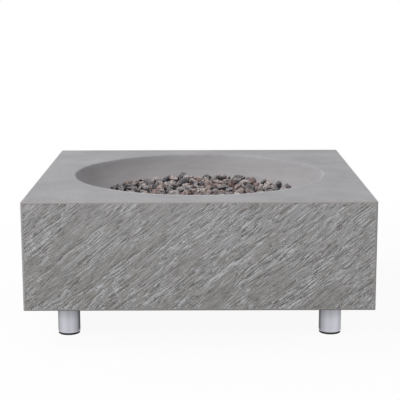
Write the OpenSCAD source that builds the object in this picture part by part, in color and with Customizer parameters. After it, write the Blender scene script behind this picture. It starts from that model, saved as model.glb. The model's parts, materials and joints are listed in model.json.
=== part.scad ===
// Square cast fire pit table: a concrete body with a sunken bowl, lava stones over a ring burner,
// four tube legs with levelling feet, and a gas control panel in a pocket of the rear wall.
// The origin is on the floor under the middle of the table, +Z is up and the front faces -Y.

/* [Table] */
// Width of the square table
table_w = 1016; // [940:1:1200]
// Height of the top above the floor
table_h = 420; // [400:1:480]
// Height of the cast body
body_h = 320; // [290:1:330]
// Thickness of the side walls
wall_t = 18; // [14:1:24]
// Thickness of the top slab
top_t = 24; // [18:1:32]
// Radius of the upright corners
corner_r = 6; // [3:0.5:8]
// Chamfer round the top edge
edge_chamfer = 3; // [1:0.5:4]
// Chamfer round the bottom edge
base_chamfer = 2; // [1:0.5:3]
// Depth of the slate panels below the smooth margins
panel_depth = 4; // [2:0.5:6]
// Width of the smooth margin beside each upright corner
panel_margin = 7; // [6:0.5:14]
// Height of the smooth margin above and below the slate
panel_lip = 5; // [4:0.5:12]

/* [Bowl] */
// Radius of the bowl's rim
bowl_r = 402; // [380:1:415]
// Depth of the bowl below the top
bowl_depth = 100; // [85:1:115]
// Width of the bowl's flat floor outside the burner pan's rebate
bowl_floor_margin = 5; // [3:1:25]
// Thickness of the bowl shell
bowl_t = 22; // [16:1:28]
// Rounding of the rim
rim_round = 8; // [4:0.5:12]

/* [Legs] */
// Outer diameter of the leg tubes
leg_d = 66; // [54:1:80]
// Wall of the leg tubes
leg_wall = 2.5; // [1.5:0.1:4]
// Distance of each leg's centre from the sides
leg_inset = 118; // [100:1:135]
// Thickness of the corner gussets that take the legs
gusset_t = 40; // [36:1:60]
// Length of the gussets along each wall
gusset_reach = 280; // [250:1:310]
// Height of the bevelled end caps
cap_h = 7; // [5:0.5:12]
// Width of the bevel at the foot of the end caps
cap_bevel = 1.5; // [0.5:0.5:4]
// Height of the levelling foot's pad
pad_h = 5; // [4:0.5:10]
// Diameter of the levelling foot's pad
pad_d = 64; // [40:1:66]
// Travel of the levelling feet
foot_travel = 12; // [5:1:20]
// Diameter of the levelling foot's stem
foot_stem_d = 12; // [8:1:16]
// Diameter of the leg studs
stud_d = 16; // [10:1:20]
// Diameter of the cast-in leg inserts
insert_d = 28; // [24:1:36]
// Length of the cast-in leg inserts
insert_len = 32; // [24:1:34]

/* [Burner] */
// Outer radius of the pan's wall
pan_r = 203; // [190:0.5:215]
// Clearance of the pan's wall in the hole of the bowl's floor
pan_gap = 2; // [1:0.5:6]
// Width of the pan's flange
pan_flange_w = 20; // [12:0.5:24]
// Clearance of the pan's flange in its rebate
rebate_gap = 2; // [1:0.5:4]
// Depth of the pan below its flange
pan_depth = 45; // [40:1:55]
// Sheet thickness of the pan
pan_t = 1.5; // [1:0.1:2.5]
// Depth of the rebate that the flange lies in
rebate_d = 3; // [2.5:0.5:6]
// Radius of the outer burner ring
ring_r = 150; // [140:1:170]
// Radius of the inner burner ring
inner_ring_r = 75; // [55:1:85]
// Diameter of the burner tube
ring_tube_d = 16; // [12:0.5:18]
// Diameter of the burner ports
port_d = 2.4; // [1.5:0.1:3]
// Outer diameter of the burner nipple
nipple_d = 20.8; // [18:0.1:24]
// Diameter of the feed tube
feed_d = 10; // [8:0.5:10]

/* [Controls] */
// Clearance round the control plate in the rear wall's pocket
pocket_gap = 8; // [4:0.5:20]
// Depth of the pocket
pocket_d = 36; // [36:1:48]
// Height of the middle of the pocket above the underside of the body
pocket_rise = 100; // [90:1:110]
// Thickness of the pocket's walls
pocket_wall = 16; // [14:1:22]
// Width of the control plate
plate_w = 204; // [190:1:230]
// Height of the control plate
plate_h = 96; // [86:1:110]
// Thickness of the control plate
plate_t = 2; // [1.5:0.5:3]
// Thickness of the gasket behind the plate
gasket_t = 1; // [0.5:0.5:2]
// Distance between the knob and the igniter button
control_pitch = 96; // [90:1:110]
// Diameter of the control knob
knob_d = 42; // [38:1:48]
// Height of the control knob
knob_h = 24; // [22:0.5:24]
// How far the knob can be pushed in
knob_travel = 4; // [2:0.5:4]
// Diameter of the valve stem
stem_d = 8; // [6:0.5:8]
// Diameter of the igniter button
button_d = 15; // [11:0.5:15]
// How far the igniter button can be pressed
button_travel = 5; // [3:0.5:5]
// Diameter of the gas inlet's thread
inlet_d = 15.88; // [12:0.01:18]
// Length of the gas inlet's thread
inlet_len = 14; // [10:1:18]

/* [Lava stones] */
// Depth of the stones' bed below the top
bed_drop = 78; // [70:1:84]
// Height of the tallest stones above the bed
stone_h = 27; // [20:1:30]
// Number of stones on the bed
stone_count = 360; // [200:10:400]
// Gap between neighbouring stones
stone_gap = 0.8; // [0.4:0.1:2]

/* [Hidden] */
$fn = 64;
// Clearance of pieces that are fixed together
fit = 0.1;
// Clearance of pieces that move
run = 0.3;
// Overrun of cuts past the faces that they open
over = 1;

// Legs at the corners, front left first
corners = [["fl", -1, -1], ["fr", 1, -1], ["bl", -1, 1], ["br", 1, 1]];
leg_h = table_h - body_h;
leg_at = table_w / 2 - leg_inset;
leg_bore_r = leg_d / 2 - leg_wall;
cap_z = pad_h + run;
tube_z = cap_z + cap_h;
cap_spigot_h = 10;
top_plate_t = 12;
// The foot's stem runs through the cap and its spigot, with its travel and some spare thread above
foot_socket_z = pad_h * 0.4;
foot_thread_spare = 8;
foot_stem_len = tube_z + cap_spigot_h + foot_travel + foot_thread_spare - foot_socket_z;

// The burner pan drops into the bowl's floor, and the bowl's wall is an arc that is tangent to it
pan_hole_r = pan_r + pan_gap;
pan_flange_r = pan_r + pan_flange_w;
rebate_r = pan_flange_r + rebate_gap;
bowl_floor_r = rebate_r + bowl_floor_margin;
bowl_arc = (pow(bowl_r - bowl_floor_r, 2) + pow(bowl_depth, 2)) / (2 * bowl_depth);
bowl_z = table_h - bowl_depth;
arc_z = bowl_z + bowl_arc;
// Centre of the rim's rounding and the point where it meets the bowl's arc
rim_z = table_h - rim_round;
rim_reach = bowl_arc + rim_round;
rim_c = bowl_floor_r + sqrt(pow(rim_reach, 2) - pow(arc_z - rim_z, 2));
rim_blend = bowl_arc / rim_reach;
rim_tangent = [bowl_floor_r + (rim_c - bowl_floor_r) * rim_blend, arc_z + (rim_z - arc_z) * rim_blend];

// Burner heights, from the pan upwards and downwards
flange_z = bowl_z - rebate_d;
pan_z = flange_z - pan_depth;
pan_floor_z = pan_z + pan_t;
ring_lift = 8.5;
ring_z = pan_floor_z + ring_lift + ring_tube_d / 2;
ring_wall = 1.6;
hub_r = 20;
hub_h = 27;
hub_thread = 12;
outer_ports = 24;
inner_ports = 12;
nipple_drop = 36;
nipple_z = pan_z - nipple_drop;
nipple_wall = 3.4;
locknut_h = 10;
mixer_h = 50;
mixer_r = 15;
mixer_thread = 10;
mixer_z = nipple_z + mixer_thread - mixer_h;
orifice_hex_h = 10;
orifice_r = 6;
orifice_thread = 8;
orifice_bore_r = 3;
orifice_tip_r = 5;
orifice_z = mixer_z - orifice_hex_h - orifice_thread;

// Controls, from the pocket's floor outwards
back_y = table_w / 2;
pocket_w = plate_w + 2 * pocket_gap;
pocket_h = plate_h + 2 * pocket_gap;
pocket_y = back_y - pocket_d;
pocket_z = leg_h + pocket_rise;
plate_back = pocket_y + gasket_t;
plate_front = plate_back + plate_t;
plate_corner_r = 6;
plate_side = 17;
plate_lip = 13;
cutout_w = plate_w - 2 * plate_side;
cutout_h = plate_h - 2 * plate_lip;
screw_edge = 8;
screw_x = plate_w / 2 - screw_edge;
screw_z = plate_h / 2 - screw_edge;
screw_r = 2.4;
anchor_r = 4.9;
anchor_len = 13;
valve_x = -control_pitch / 2;
igniter_x = control_pitch / 2;
valve_w = 34;
valve_h = 46;
valve_len = 40;
valve_y = plate_back - valve_len;
bonnet_r = 9;
bonnet_proud = 12;
bonnet_bore_r = stem_d / 2 + 2.5;
lip_t = 2.5;
lip_y = plate_front + bonnet_proud - lip_t;
shoulder_t = 1.8;
shoulder_y = lip_y - run - shoulder_t;
collar_t = 2.2;
collar_y = shoulder_y - fit - collar_t;
spring_pocket = 11;
spring_seat = plate_back - spring_pocket;
spring_wire = 1;
stem_depth = 18;
valve_nut_h = 5;
valve_nut_flats = 24;
knob_gap = 2;
knob_y = plate_front + knob_gap + knob_travel;
knob_recess = bonnet_proud;
knob_face_t = 2;
outlet_len = 12;
outlet_y = valve_y - outlet_len;
tube_nut_len = 14;
tube_nut_hold = 6;
tube_nut_flats = 17;
probe_side = 9;
probe_drop = 17;
probe_x = valve_x - probe_side;
probe_z = pocket_z - probe_drop;
probe_nut_len = 8;
probe_nut_flats = 10;
gas_bore_r = 3.5;
inlet_bore_r = 4;
inlet_back = 8;
inlet_y = valve_y + inlet_back;
inlet_hex_h = 12;
inlet_z = pocket_z - valve_h / 2 - inlet_hex_h - inlet_len;

// Igniter
igniter_r = button_d / 2 + 3.5;
igniter_flange_r = igniter_r + 4;
igniter_flange_t = 5;
button_shoulder_r = button_d / 2 + 1.5;
button_shoulder_t = 3.1;
button_bore_r = button_shoulder_r + run;
bezel_t = 3.5;
button_y = plate_front - 2 * run - button_shoulder_t;
button_edge = 0.8;
button_proud = button_travel + 0.5;
button_spring_block = 7;
button_spring_len = button_travel + button_spring_block;
battery_seat = button_y - button_spring_len;
battery_r = 5.25;
battery_len = 44.5;
battery_bore_r = battery_r + run;
battery_tip_h = 1;
battery_tip_r = 1.9;
igniter_end_t = 3;
igniter_y = battery_seat - battery_len - battery_tip_h - igniter_end_t;

// Electrode and thermocouple stand between the burner's rings
probe_reach = (ring_r + inner_ring_r) / 2;
probe_pitch = 60;
electrode_at = [probe_pitch / 2, probe_reach];
thermocouple_at = [-probe_pitch / 2, probe_reach];
insulator_r = 4;
thermocouple_r = 3;
electrode_wire_r = 1.2;
probe_drop_z = 26;
probe_foot_z = pan_z - probe_drop_z;
probe_rise = 1;
probe_top_z = ring_z + ring_tube_d / 2 + probe_rise;
electrode_bare = 4;
electrode_foot_z = probe_foot_z - electrode_bare;
bracket_t = 1.5;
bracket_z = pan_floor_z + bracket_t;
bracket_ear = 12;
bracket_screw_x = probe_pitch / 2 + bracket_ear;
bracket_screw_r = 1.9;
igniter_lead_r = 1.8;
probe_lead_r = 1.2;

// Lava bed
bed_z = table_h - bed_drop;
bed_gap = 0.4;
bed_clear = 3;
bed_floor_z = probe_top_z + bed_clear;
bed_edge_r = bowl_floor_r + sqrt(pow(bowl_arc, 2) - pow(arc_z - bed_z, 2));

function unit(v) = v / norm(v);

// Hexagon bar by its width across flats
module hex_bar(flats, h) {
    cylinder(r = flats / sqrt(3), h = h, $fn = 6);
}

module ring_bar(outer_r, inner_r, h) {
    difference() {
        cylinder(r = outer_r, h = h);
        translate([0, 0, -over]) cylinder(r = inner_r, h = h + 2 * over);
    }
}

// Square with round corners
module rounded_plate(w, d, r) {
    square([w, d - 2 * r], center = true);
    square([w - 2 * r, d], center = true);
    for (x = [-1, 1], y = [-1, 1]) {
        translate([x * (w / 2 - r), y * (d / 2 - r)]) circle(r);
    }
}

module at_leg(corner) {
    translate([corner[1] * leg_at, corner[2] * leg_at, 0]) children();
}

module at_all_legs() {
    for (corner = corners) at_leg(corner) children();
}

// Puts a piece that is drawn along +Z on an axis of the control panel, pointing out of the rear
module on_panel(x, y, z = pocket_z) {
    translate([x, y, z]) rotate([-90, 0, 0]) children();
}

// Points of a route whose inner corners are rounded by a bend radius
function rounded_route(route, bend, steps) = [
    route[0],
    for (i = [1 : len(route) - 2])
        let (
            a = unit(route[i] - route[i - 1]),
            b = unit(route[i + 1] - route[i]),
            turn = acos(a * b),
            inward = unit(b - a * (a * b)),
            middle = route[i] - a * bend * tan(turn / 2) + inward * bend
        )
        for (k = [0 : steps])
            let (t = turn * k / steps) middle - inward * bend * cos(t) + a * bend * sin(t),
    route[len(route) - 1]
];

// Faces of a tube of rings of points, closed by a fan at each end
function tube_faces(rings, sides) = [
    for (i = [0 : rings - 2], k = [0 : sides - 1])
        let (a = i * sides + k, b = i * sides + (k + 1) % sides)
        each [[a, b, b + sides], [a, b + sides, a + sides]],
    for (k = [1 : sides - 2]) [0, k + 1, k],
    for (k = [1 : sides - 2]) [0, k, k + 1] + [1, 1, 1] * (rings - 1) * sides
];

// Round tube along a route that never runs along X, with a bend at each inner point
module bent_tube(route, r, bend, sides = 8) {
    path = rounded_route(route, bend, 6);
    last = len(path) - 1;
    points = [for (i = [0 : last])
        let (
            way = unit(path[min(i + 1, last)] - path[max(i - 1, 0)]),
            side = unit([1, 0, 0] - way * way.x),
            up = cross(way, side)
        )
        for (k = [0 : sides - 1]) path[i] + r * (cos(360 * k / sides) * side + sin(360 * k / sides) * up)];
    polyhedron(points, tube_faces(last + 1, sides));
}

// Compression spring along +Z: one round wire on a helix
module coil_spring(r, wire, length, turns) {
    sides = 6;
    steps = 10 * turns;
    rise = length - wire;
    points = [for (i = [0 : steps], k = [0 : sides - 1])
        let (
            a = 360 * turns * i / steps,
            out = r + wire / 2 * cos(360 * k / sides),
            up = wire / 2 * (1 - sin(360 * k / sides))
        )
        [out * cos(a), out * sin(a), up + rise * i / steps]];
    echo(spring_gap = rise / turns - wire);
    polyhedron(points, tube_faces(steps + 1, sides));
}

// Section of the bowl, grown outwards by a thickness
module bowl_section(grow, top) {
    floor_z = bowl_z - grow;
    translate([0, floor_z]) square([bowl_floor_r, top - floor_z]);
    intersection() {
        translate([bowl_floor_r, arc_z]) circle(bowl_arc + grow);
        translate([bowl_floor_r, floor_z - over]) square([bowl_arc + grow + over, top - floor_z + over]);
    }
}

// Section of the material that the rim's rounding takes away
module rim_section() {
    difference() {
        polygon([
            rim_tangent, [rim_c, rim_z], [rim_c, table_h + over], [rim_tangent.x - rim_round, table_h + over]
        ]);
        translate([rim_c, rim_z]) circle(rim_round);
    }
}

module bowl_void() {
    rotate_extrude() {
        bowl_section(0, table_h + over);
        rim_section();
    }
}

module gusset(corner) {
    reach = table_w / 2 - wall_t;
    mirror([corner[1] < 0 ? 1 : 0, 0, 0]) mirror([0, corner[2] < 0 ? 1 : 0, 0])
        translate([0, 0, leg_h - 2 * over]) linear_extrude(gusset_t + 2 * over) polygon([
            [reach + over, reach + over], [reach - gusset_reach, reach + over],
            [reach - gusset_reach, reach], [reach, reach - gusset_reach], [reach + over, reach - gusset_reach]
        ]);
}

module pocket_block() {
    block_y = pocket_y - pocket_wall;
    translate([0, (block_y + back_y - wall_t + over) / 2, pocket_z])
        cube([pocket_w + 2 * pocket_wall, back_y - wall_t + over - block_y, pocket_h + 2 * pocket_wall],
            center = true);
}

// Hollow of the body, open underneath
module cavity() {
    difference() {
        translate([0, 0, leg_h - over]) linear_extrude(body_h - top_t + over)
            square(table_w - 2 * wall_t, center = true);
        rotate_extrude() bowl_section(bowl_t, table_h);
        for (corner = corners) gusset(corner);
        pocket_block();
    }
}

module panel_recess(turn) {
    rotate(turn) translate([0, -table_w / 2, leg_h + body_h / 2])
        cube([table_w - 2 * panel_margin, 2 * panel_depth, body_h - 2 * panel_lip], center = true);
}

module edge_cut(turn, z, chamfer) {
    rotate(turn) translate([0, -table_w / 2, z]) rotate([45, 0, 0])
        cube([table_w + 2 * over, chamfer * sqrt(2), chamfer * sqrt(2)], center = true);
}

// Through cut for the controls and blind holes for the plate's anchors
module panel_cuts() {
    translate([0, pocket_y + pocket_d / 2 + over, pocket_z])
        cube([pocket_w, pocket_d + 2 * over, pocket_h], center = true);
    translate([0, pocket_y - pocket_wall / 2, pocket_z])
        cube([cutout_w, pocket_wall + 4 * over, cutout_h], center = true);
    for (x = [-screw_x, screw_x], z = [-screw_z, screw_z]) {
        on_panel(x, pocket_y - anchor_len, pocket_z + z) cylinder(r = anchor_r + fit, h = anchor_len + over);
    }
}

module table_body() {
    color([0.62, 0.62, 0.63]) difference() {
        translate([0, 0, leg_h]) linear_extrude(body_h) rounded_plate(table_w, table_w, corner_r);
        cavity();
        bowl_void();
        translate([0, 0, bowl_z - bowl_t - over]) cylinder(r = pan_hole_r, h = bowl_t + 2 * over);
        translate([0, 0, flange_z]) cylinder(r = rebate_r, h = rebate_d + over);
        for (turn = [0 : 90 : 270]) panel_recess(turn);
        for (turn = [0 : 90 : 270]) {
            edge_cut(turn, table_h, edge_chamfer);
            edge_cut(turn, leg_h, base_chamfer);
        }
        panel_cuts();
        at_all_legs() translate([0, 0, leg_h - over]) cylinder(d = insert_d + 2 * fit, h = insert_len + over);
    }
}

module leg_tube() {
    color([0.72, 0.73, 0.75]) translate([0, 0, tube_z]) ring_bar(leg_d / 2, leg_bore_r, leg_h - tube_z);
}

// Turned cap with a bevel, a spigot inside the tube and a threaded hole for the foot's stem
module leg_end_cap() {
    difference() {
        union() {
            translate([0, 0, cap_z]) cylinder(r1 = leg_d / 2 - cap_bevel, r2 = leg_d / 2, h = cap_bevel);
            translate([0, 0, cap_z + cap_bevel]) cylinder(d = leg_d, h = cap_h - cap_bevel);
            translate([0, 0, tube_z - over]) cylinder(r = leg_bore_r - fit, h = cap_spigot_h + over);
        }
        cylinder(r = foot_stem_d / 2 + run, h = leg_h);
    }
}

module leg_end_caps() {
    color([0.78, 0.79, 0.8]) at_all_legs() leg_end_cap();
}

module leg_top_plates() {
    color([0.6, 0.61, 0.62]) at_all_legs() translate([0, 0, leg_h - top_plate_t])
        ring_bar(leg_bore_r - fit, stud_d / 2 + fit, top_plate_t);
}

// Insert with three anchoring grooves, cast into the gusset
module leg_inserts() {
    groove_pitch = insert_len / 4;
    groove_w = 2;
    groove_d = 1.2;
    color([0.66, 0.64, 0.58]) at_all_legs() translate([0, 0, leg_h]) difference() {
        ring_bar(insert_d / 2, stud_d / 2 + fit, insert_len);
        for (i = [1 : 3]) translate([0, 0, i * groove_pitch - groove_w / 2])
            ring_bar(insert_d, insert_d / 2 - groove_d, groove_w);
    }
}

module leg_studs() {
    tip_gap = 2;
    color([0.58, 0.59, 0.6]) at_all_legs() translate([0, 0, leg_h - top_plate_t])
        cylinder(d = stud_d, h = top_plate_t + insert_len - tip_gap);
}

// Rubber pad with a bevelled lower edge and a socket for its stem
module foot_pad() {
    bevel = 0.8;
    color([0.12, 0.12, 0.13]) difference() {
        union() {
            cylinder(r1 = pad_d / 2 - bevel, r2 = pad_d / 2, h = bevel);
            translate([0, 0, bevel]) cylinder(d = pad_d, h = pad_h - bevel);
        }
        translate([0, 0, foot_socket_z]) cylinder(r = foot_stem_d / 2 + fit, h = pad_h);
    }
}

module foot_stem() {
    color([0.6, 0.61, 0.62]) translate([0, 0, foot_socket_z]) cylinder(d = foot_stem_d, h = foot_stem_len);
}

// Drop-in pan with a flange, drain holes and the holes of the igniter bracket
module burner_pan() {
    drain_count = 6;
    drain_r = 4;
    drain_edge = 22;
    drain_turn = 15;
    inner_r = nipple_d / 2 + fit;
    color([0.68, 0.69, 0.7]) difference() {
        rotate_extrude() polygon([
            [inner_r, pan_z], [pan_r, pan_z], [pan_r, flange_z], [pan_flange_r, flange_z],
            [pan_flange_r, flange_z + pan_t], [pan_r - pan_t, flange_z + pan_t],
            [pan_r - pan_t, pan_floor_z], [inner_r, pan_floor_z]
        ]);
        for (i = [0 : drain_count - 1]) rotate(360 * i / drain_count + drain_turn)
            translate([pan_r - drain_edge, 0, pan_z - over]) cylinder(r = drain_r, h = pan_t + 2 * over);
        translate([electrode_at.x, electrode_at.y, pan_z - over])
            cylinder(r = insulator_r + run, h = pan_t + 2 * over);
        translate([thermocouple_at.x, thermocouple_at.y, pan_z - over])
            cylinder(r = thermocouple_r + run, h = pan_t + 2 * over);
        for (x = [-bracket_screw_x, bracket_screw_x]) translate([x, probe_reach, pan_z - over])
            cylinder(r = bracket_screw_r + fit, h = pan_t + 2 * over);
    }
}

// Rings and spokes of the burner, as solid bars of a radius
module burner_bars(r) {
    translate([0, 0, ring_z]) {
        for (radius = [inner_ring_r, ring_r]) rotate_extrude() translate([radius, 0]) circle(r);
        for (turn = [0, 90]) rotate(turn) rotate([0, 90, 0]) cylinder(r = r, h = 2 * ring_r, center = true);
    }
}

module port_row(radius, count) {
    for (i = [0 : count - 1]) rotate(360 * (i + 0.5) / count) translate([radius, 0, ring_z])
        cylinder(d = port_d, h = ring_tube_d);
}

module burner_ring() {
    hub_step = 2;
    hub_cap_t = 3;
    color([0.64, 0.65, 0.66]) difference() {
        union() {
            burner_bars(ring_tube_d / 2);
            translate([0, 0, pan_floor_z]) cylinder(r = hub_r, h = hub_h);
        }
        burner_bars(ring_tube_d / 2 - ring_wall);
        translate([0, 0, pan_floor_z - over]) cylinder(r = nipple_d / 2 + fit, h = hub_thread + over);
        translate([0, 0, pan_floor_z]) cylinder(r = nipple_d / 2 - hub_step, h = hub_h - hub_cap_t);
        port_row(ring_r, outer_ports);
        port_row(inner_ring_r, inner_ports);
    }
}

module burner_nipple() {
    color([0.5, 0.5, 0.52]) translate([0, 0, nipple_z])
        ring_bar(nipple_d / 2, nipple_d / 2 - nipple_wall, pan_floor_z + hub_thread - fit - nipple_z);
}

module pan_locknut() {
    flat_t = 5.5;
    color([0.72, 0.6, 0.32]) translate([0, 0, pan_z - locknut_h]) difference() {
        hex_bar(nipple_d + 2 * flat_t, locknut_h);
        translate([0, 0, -over]) cylinder(r = nipple_d / 2 + fit, h = locknut_h + 2 * over);
    }
}

// Venturi tube with two air windows
module air_mixer() {
    base_t = 4;
    window_w = 10;
    window_h = 18;
    window_z = 12;
    color([0.55, 0.55, 0.57]) translate([0, 0, mixer_z]) difference() {
        cylinder(r = mixer_r, h = mixer_h);
        translate([0, 0, mixer_h - mixer_thread]) cylinder(r = nipple_d / 2 + fit, h = mixer_thread + over);
        translate([0, 0, base_t]) cylinder(r = nipple_d / 2 - nipple_wall, h = mixer_h);
        translate([0, 0, -over]) cylinder(r = orifice_tip_r + fit, h = mixer_h);
        translate([0, 0, window_z + window_h / 2]) cube([3 * mixer_r, window_w, window_h], center = true);
    }
}

// Jet with a thread below its hexagon for the feed tube and a tip in the mixer
module gas_orifice() {
    flats = 14;
    tip_len = 10;
    jet_r = 0.9;
    length = orifice_thread + orifice_hex_h + tip_len;
    color([0.76, 0.62, 0.3]) difference() {
        union() {
            translate([0, 0, orifice_z]) cylinder(r = orifice_r, h = orifice_thread + over);
            translate([0, 0, mixer_z - orifice_hex_h]) hex_bar(flats, orifice_hex_h);
            translate([0, 0, mixer_z - over]) cylinder(r = orifice_tip_r, h = tip_len + over);
        }
        translate([0, 0, orifice_z - over]) cylinder(r = orifice_bore_r, h = length - tip_len + 2 * over);
        translate([0, 0, orifice_z]) cylinder(r = jet_r, h = length + over);
    }
}

module feed_tube() {
    lead_out = 90;
    drop = 42;
    bend = 28;
    start = [valve_x, outlet_y, pocket_z];
    finish = [0, 0, orifice_z];
    route = [start, start - [0, lead_out, 0], finish - [0, 0, drop], finish];
    color([0.75, 0.76, 0.78]) bent_tube(route, feed_d / 2, bend, 12);
}

// Flare nut along +Z: the wide end holds a thread of radius r, the narrow end holds the tube
module tube_nut(r) {
    difference() {
        hex_bar(tube_nut_flats, tube_nut_len);
        translate([0, 0, -over]) cylinder(r = feed_d / 2 + fit, h = tube_nut_len);
        translate([0, 0, tube_nut_len - tube_nut_hold]) cylinder(r = r + fit, h = tube_nut_hold + over);
    }
}

module tube_nuts() {
    reach = tube_nut_len - tube_nut_hold;
    color([0.76, 0.62, 0.3]) {
        on_panel(valve_x, outlet_y - reach) tube_nut(orifice_r);
        translate([0, 0, orifice_z - reach]) tube_nut(orifice_r);
    }
}

// Outline of the plate with its four screw holes
module plate_outline() {
    difference() {
        rounded_plate(plate_w, plate_h, plate_corner_r);
        for (x = [-screw_x, screw_x], z = [-screw_z, screw_z]) translate([x, z]) circle(screw_r + run);
    }
}

module control_plate() {
    color([0.7, 0.71, 0.72]) on_panel(0, plate_back) difference() {
        linear_extrude(plate_t) plate_outline();
        translate([valve_x, 0, -over]) cylinder(r = bonnet_r + run, h = plate_t + 2 * over);
        translate([igniter_x, 0, -over]) cylinder(r = igniter_r + run, h = plate_t + 2 * over);
    }
}

module plate_gasket() {
    color([0.1, 0.1, 0.1]) on_panel(0, pocket_y) linear_extrude(gasket_t) difference() {
        plate_outline();
        square([cutout_w, cutout_h], center = true);
    }
}

module plate_screw() {
    head_h = 2.8;
    head_rim = 2.2;
    socket_flats = 3;
    socket_d = 1.6;
    tip_gap = 2;
    grip = anchor_len + gasket_t + plate_t - tip_gap;
    difference() {
        union() {
            translate([0, 0, -grip]) cylinder(r = screw_r, h = grip + over);
            cylinder(r = screw_r + head_rim, h = head_h);
        }
        translate([0, 0, head_h - socket_d]) hex_bar(socket_flats, socket_d + over);
    }
}

module plate_screws() {
    color([0.75, 0.76, 0.78]) for (x = [-screw_x, screw_x], z = [-screw_z, screw_z]) {
        on_panel(x, plate_front, pocket_z + z) plate_screw();
    }
}

module plate_anchors() {
    color([0.76, 0.62, 0.3]) for (x = [-screw_x, screw_x], z = [-screw_z, screw_z]) {
        on_panel(x, pocket_y - anchor_len, pocket_z + z) ring_bar(anchor_r, screw_r + fit, anchor_len);
    }
}

// Brass valve body: block, outlet spigot, and the bores of the stem and its spring
module gas_valve() {
    stem_bore_r = stem_d / 2 + run;
    outlet_depth = 6;
    inlet_depth = 14;
    bevel = 10;
    color([0.74, 0.6, 0.3]) difference() {
        union() {
            translate([valve_x, valve_y + valve_len / 2, pocket_z])
                cube([valve_w, valve_len, valve_h], center = true);
            on_panel(valve_x, outlet_y) cylinder(r = orifice_r, h = outlet_len + over);
        }
        on_panel(valve_x, spring_seat) cylinder(r = bonnet_bore_r, h = valve_len);
        on_panel(valve_x, spring_seat - stem_depth) cylinder(r = stem_bore_r, h = valve_len);
        on_panel(valve_x, outlet_y - over) cylinder(r = gas_bore_r, h = outlet_len + outlet_depth + over);
        translate([valve_x, inlet_y, pocket_z - valve_h / 2 - over])
            cylinder(r = inlet_bore_r, h = inlet_depth + over);
        for (x = [-1, 1]) translate([valve_x + x * valve_w / 2, valve_y, pocket_z + valve_h / 2])
            rotate([0, 45, 0]) cube([bevel, 4 * valve_len, bevel], center = true);
    }
}

module valve_bonnet() {
    length = plate_t + bonnet_proud;
    color([0.78, 0.64, 0.34]) on_panel(valve_x, plate_back) difference() {
        cylinder(r = bonnet_r, h = length);
        translate([0, 0, -over]) cylinder(r = bonnet_bore_r, h = length - lip_t + over);
        cylinder(r = stem_d / 2 + run, h = length + over);
    }
}

module valve_nut() {
    color([0.72, 0.73, 0.75]) on_panel(valve_x, plate_front) difference() {
        hex_bar(valve_nut_flats, valve_nut_h);
        translate([0, 0, -over]) cylinder(r = bonnet_r + fit, h = valve_nut_h + 2 * over);
    }
}

module stem_collar() {
    color([0.6, 0.61, 0.62]) on_panel(valve_x, collar_y)
        ring_bar(bonnet_bore_r - run, stem_d / 2 + fit, collar_t);
}

module stem_spring() {
    turns = 6;
    middle_r = (stem_d / 2 + bonnet_bore_r) / 2 + fit;
    color([0.5, 0.5, 0.52]) on_panel(valve_x, spring_seat + fit)
        coil_spring(middle_r, spring_wire, collar_y - spring_seat - 2 * fit, turns);
}

// Stem with a shoulder behind the bonnet's lip and a flat for the knob
module valve_stem() {
    stem_y = spring_seat - stem_depth + knob_travel + over;
    tip_y = knob_y + knob_h - knob_face_t - 2 * fit;
    flat_len = 9;
    flat_d = 1.2;
    shoulder_rim = 1.5;
    color([0.66, 0.67, 0.68]) difference() {
        union() {
            on_panel(valve_x, stem_y) cylinder(d = stem_d, h = tip_y - stem_y);
            on_panel(valve_x, shoulder_y) cylinder(r = stem_d / 2 + shoulder_rim, h = shoulder_t);
        }
        translate([valve_x, tip_y - flat_len / 2 + over / 2, pocket_z + stem_d / 2])
            cube([stem_d, flat_len + over, 2 * flat_d], center = true);
    }
}

// Knob with a skirt, a fluted grip and a pointer groove, hollow over the valve's nut
module control_knob() {
    skirt_h = 6;
    skirt_edge = 1;
    grip_r = knob_d / 2 - 4;
    grip_h = knob_h - knob_face_t;
    flutes = 18;
    flute_r = 1.8;
    flute_d = 0.9;
    face_r = grip_r - 2 * flute_d;
    face_edge = 1;
    recess_r = valve_nut_flats / sqrt(3) + 2 * run;
    groove_w = 2.4;
    groove_d = knob_face_t + 1;
    groove_end = stem_d / 2 + 1.5;
    color([0.13, 0.13, 0.14]) on_panel(valve_x, knob_y) difference() {
        union() {
            cylinder(d = knob_d, h = skirt_h - skirt_edge);
            translate([0, 0, skirt_h - skirt_edge])
                cylinder(r1 = knob_d / 2, r2 = knob_d / 2 - skirt_edge, h = skirt_edge);
            translate([0, 0, skirt_h - over]) linear_extrude(grip_h - skirt_h + over) difference() {
                circle(grip_r);
                for (i = [0 : flutes - 1]) rotate(360 * i / flutes) translate([grip_r + flute_r - flute_d, 0])
                    circle(flute_r);
            }
            translate([0, 0, grip_h - over]) cylinder(r = face_r, h = knob_face_t - face_edge + over);
            translate([0, 0, knob_h - face_edge])
                cylinder(r1 = face_r, r2 = face_r - face_edge, h = face_edge);
        }
        translate([0, 0, -over]) cylinder(r = recess_r, h = knob_recess + over);
        cylinder(r = stem_d / 2 + fit, h = grip_h);
        translate([-groove_w / 2, -grip_r - over, knob_h - groove_d])
            cube([groove_w, grip_r + over - groove_end, groove_d + over]);
    }
}

module igniter_body() {
    color([0.16, 0.16, 0.17]) difference() {
        union() {
            on_panel(igniter_x, igniter_y) cylinder(r = igniter_r, h = plate_front - igniter_y);
            on_panel(igniter_x, plate_back - igniter_flange_t)
                cylinder(r = igniter_flange_r, h = igniter_flange_t);
        }
        on_panel(igniter_x, battery_seat) cylinder(r = button_bore_r, h = valve_len);
        on_panel(igniter_x, igniter_y + igniter_end_t)
            cylinder(r = battery_bore_r, h = battery_len + 2 * over);
    }
}

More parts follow.
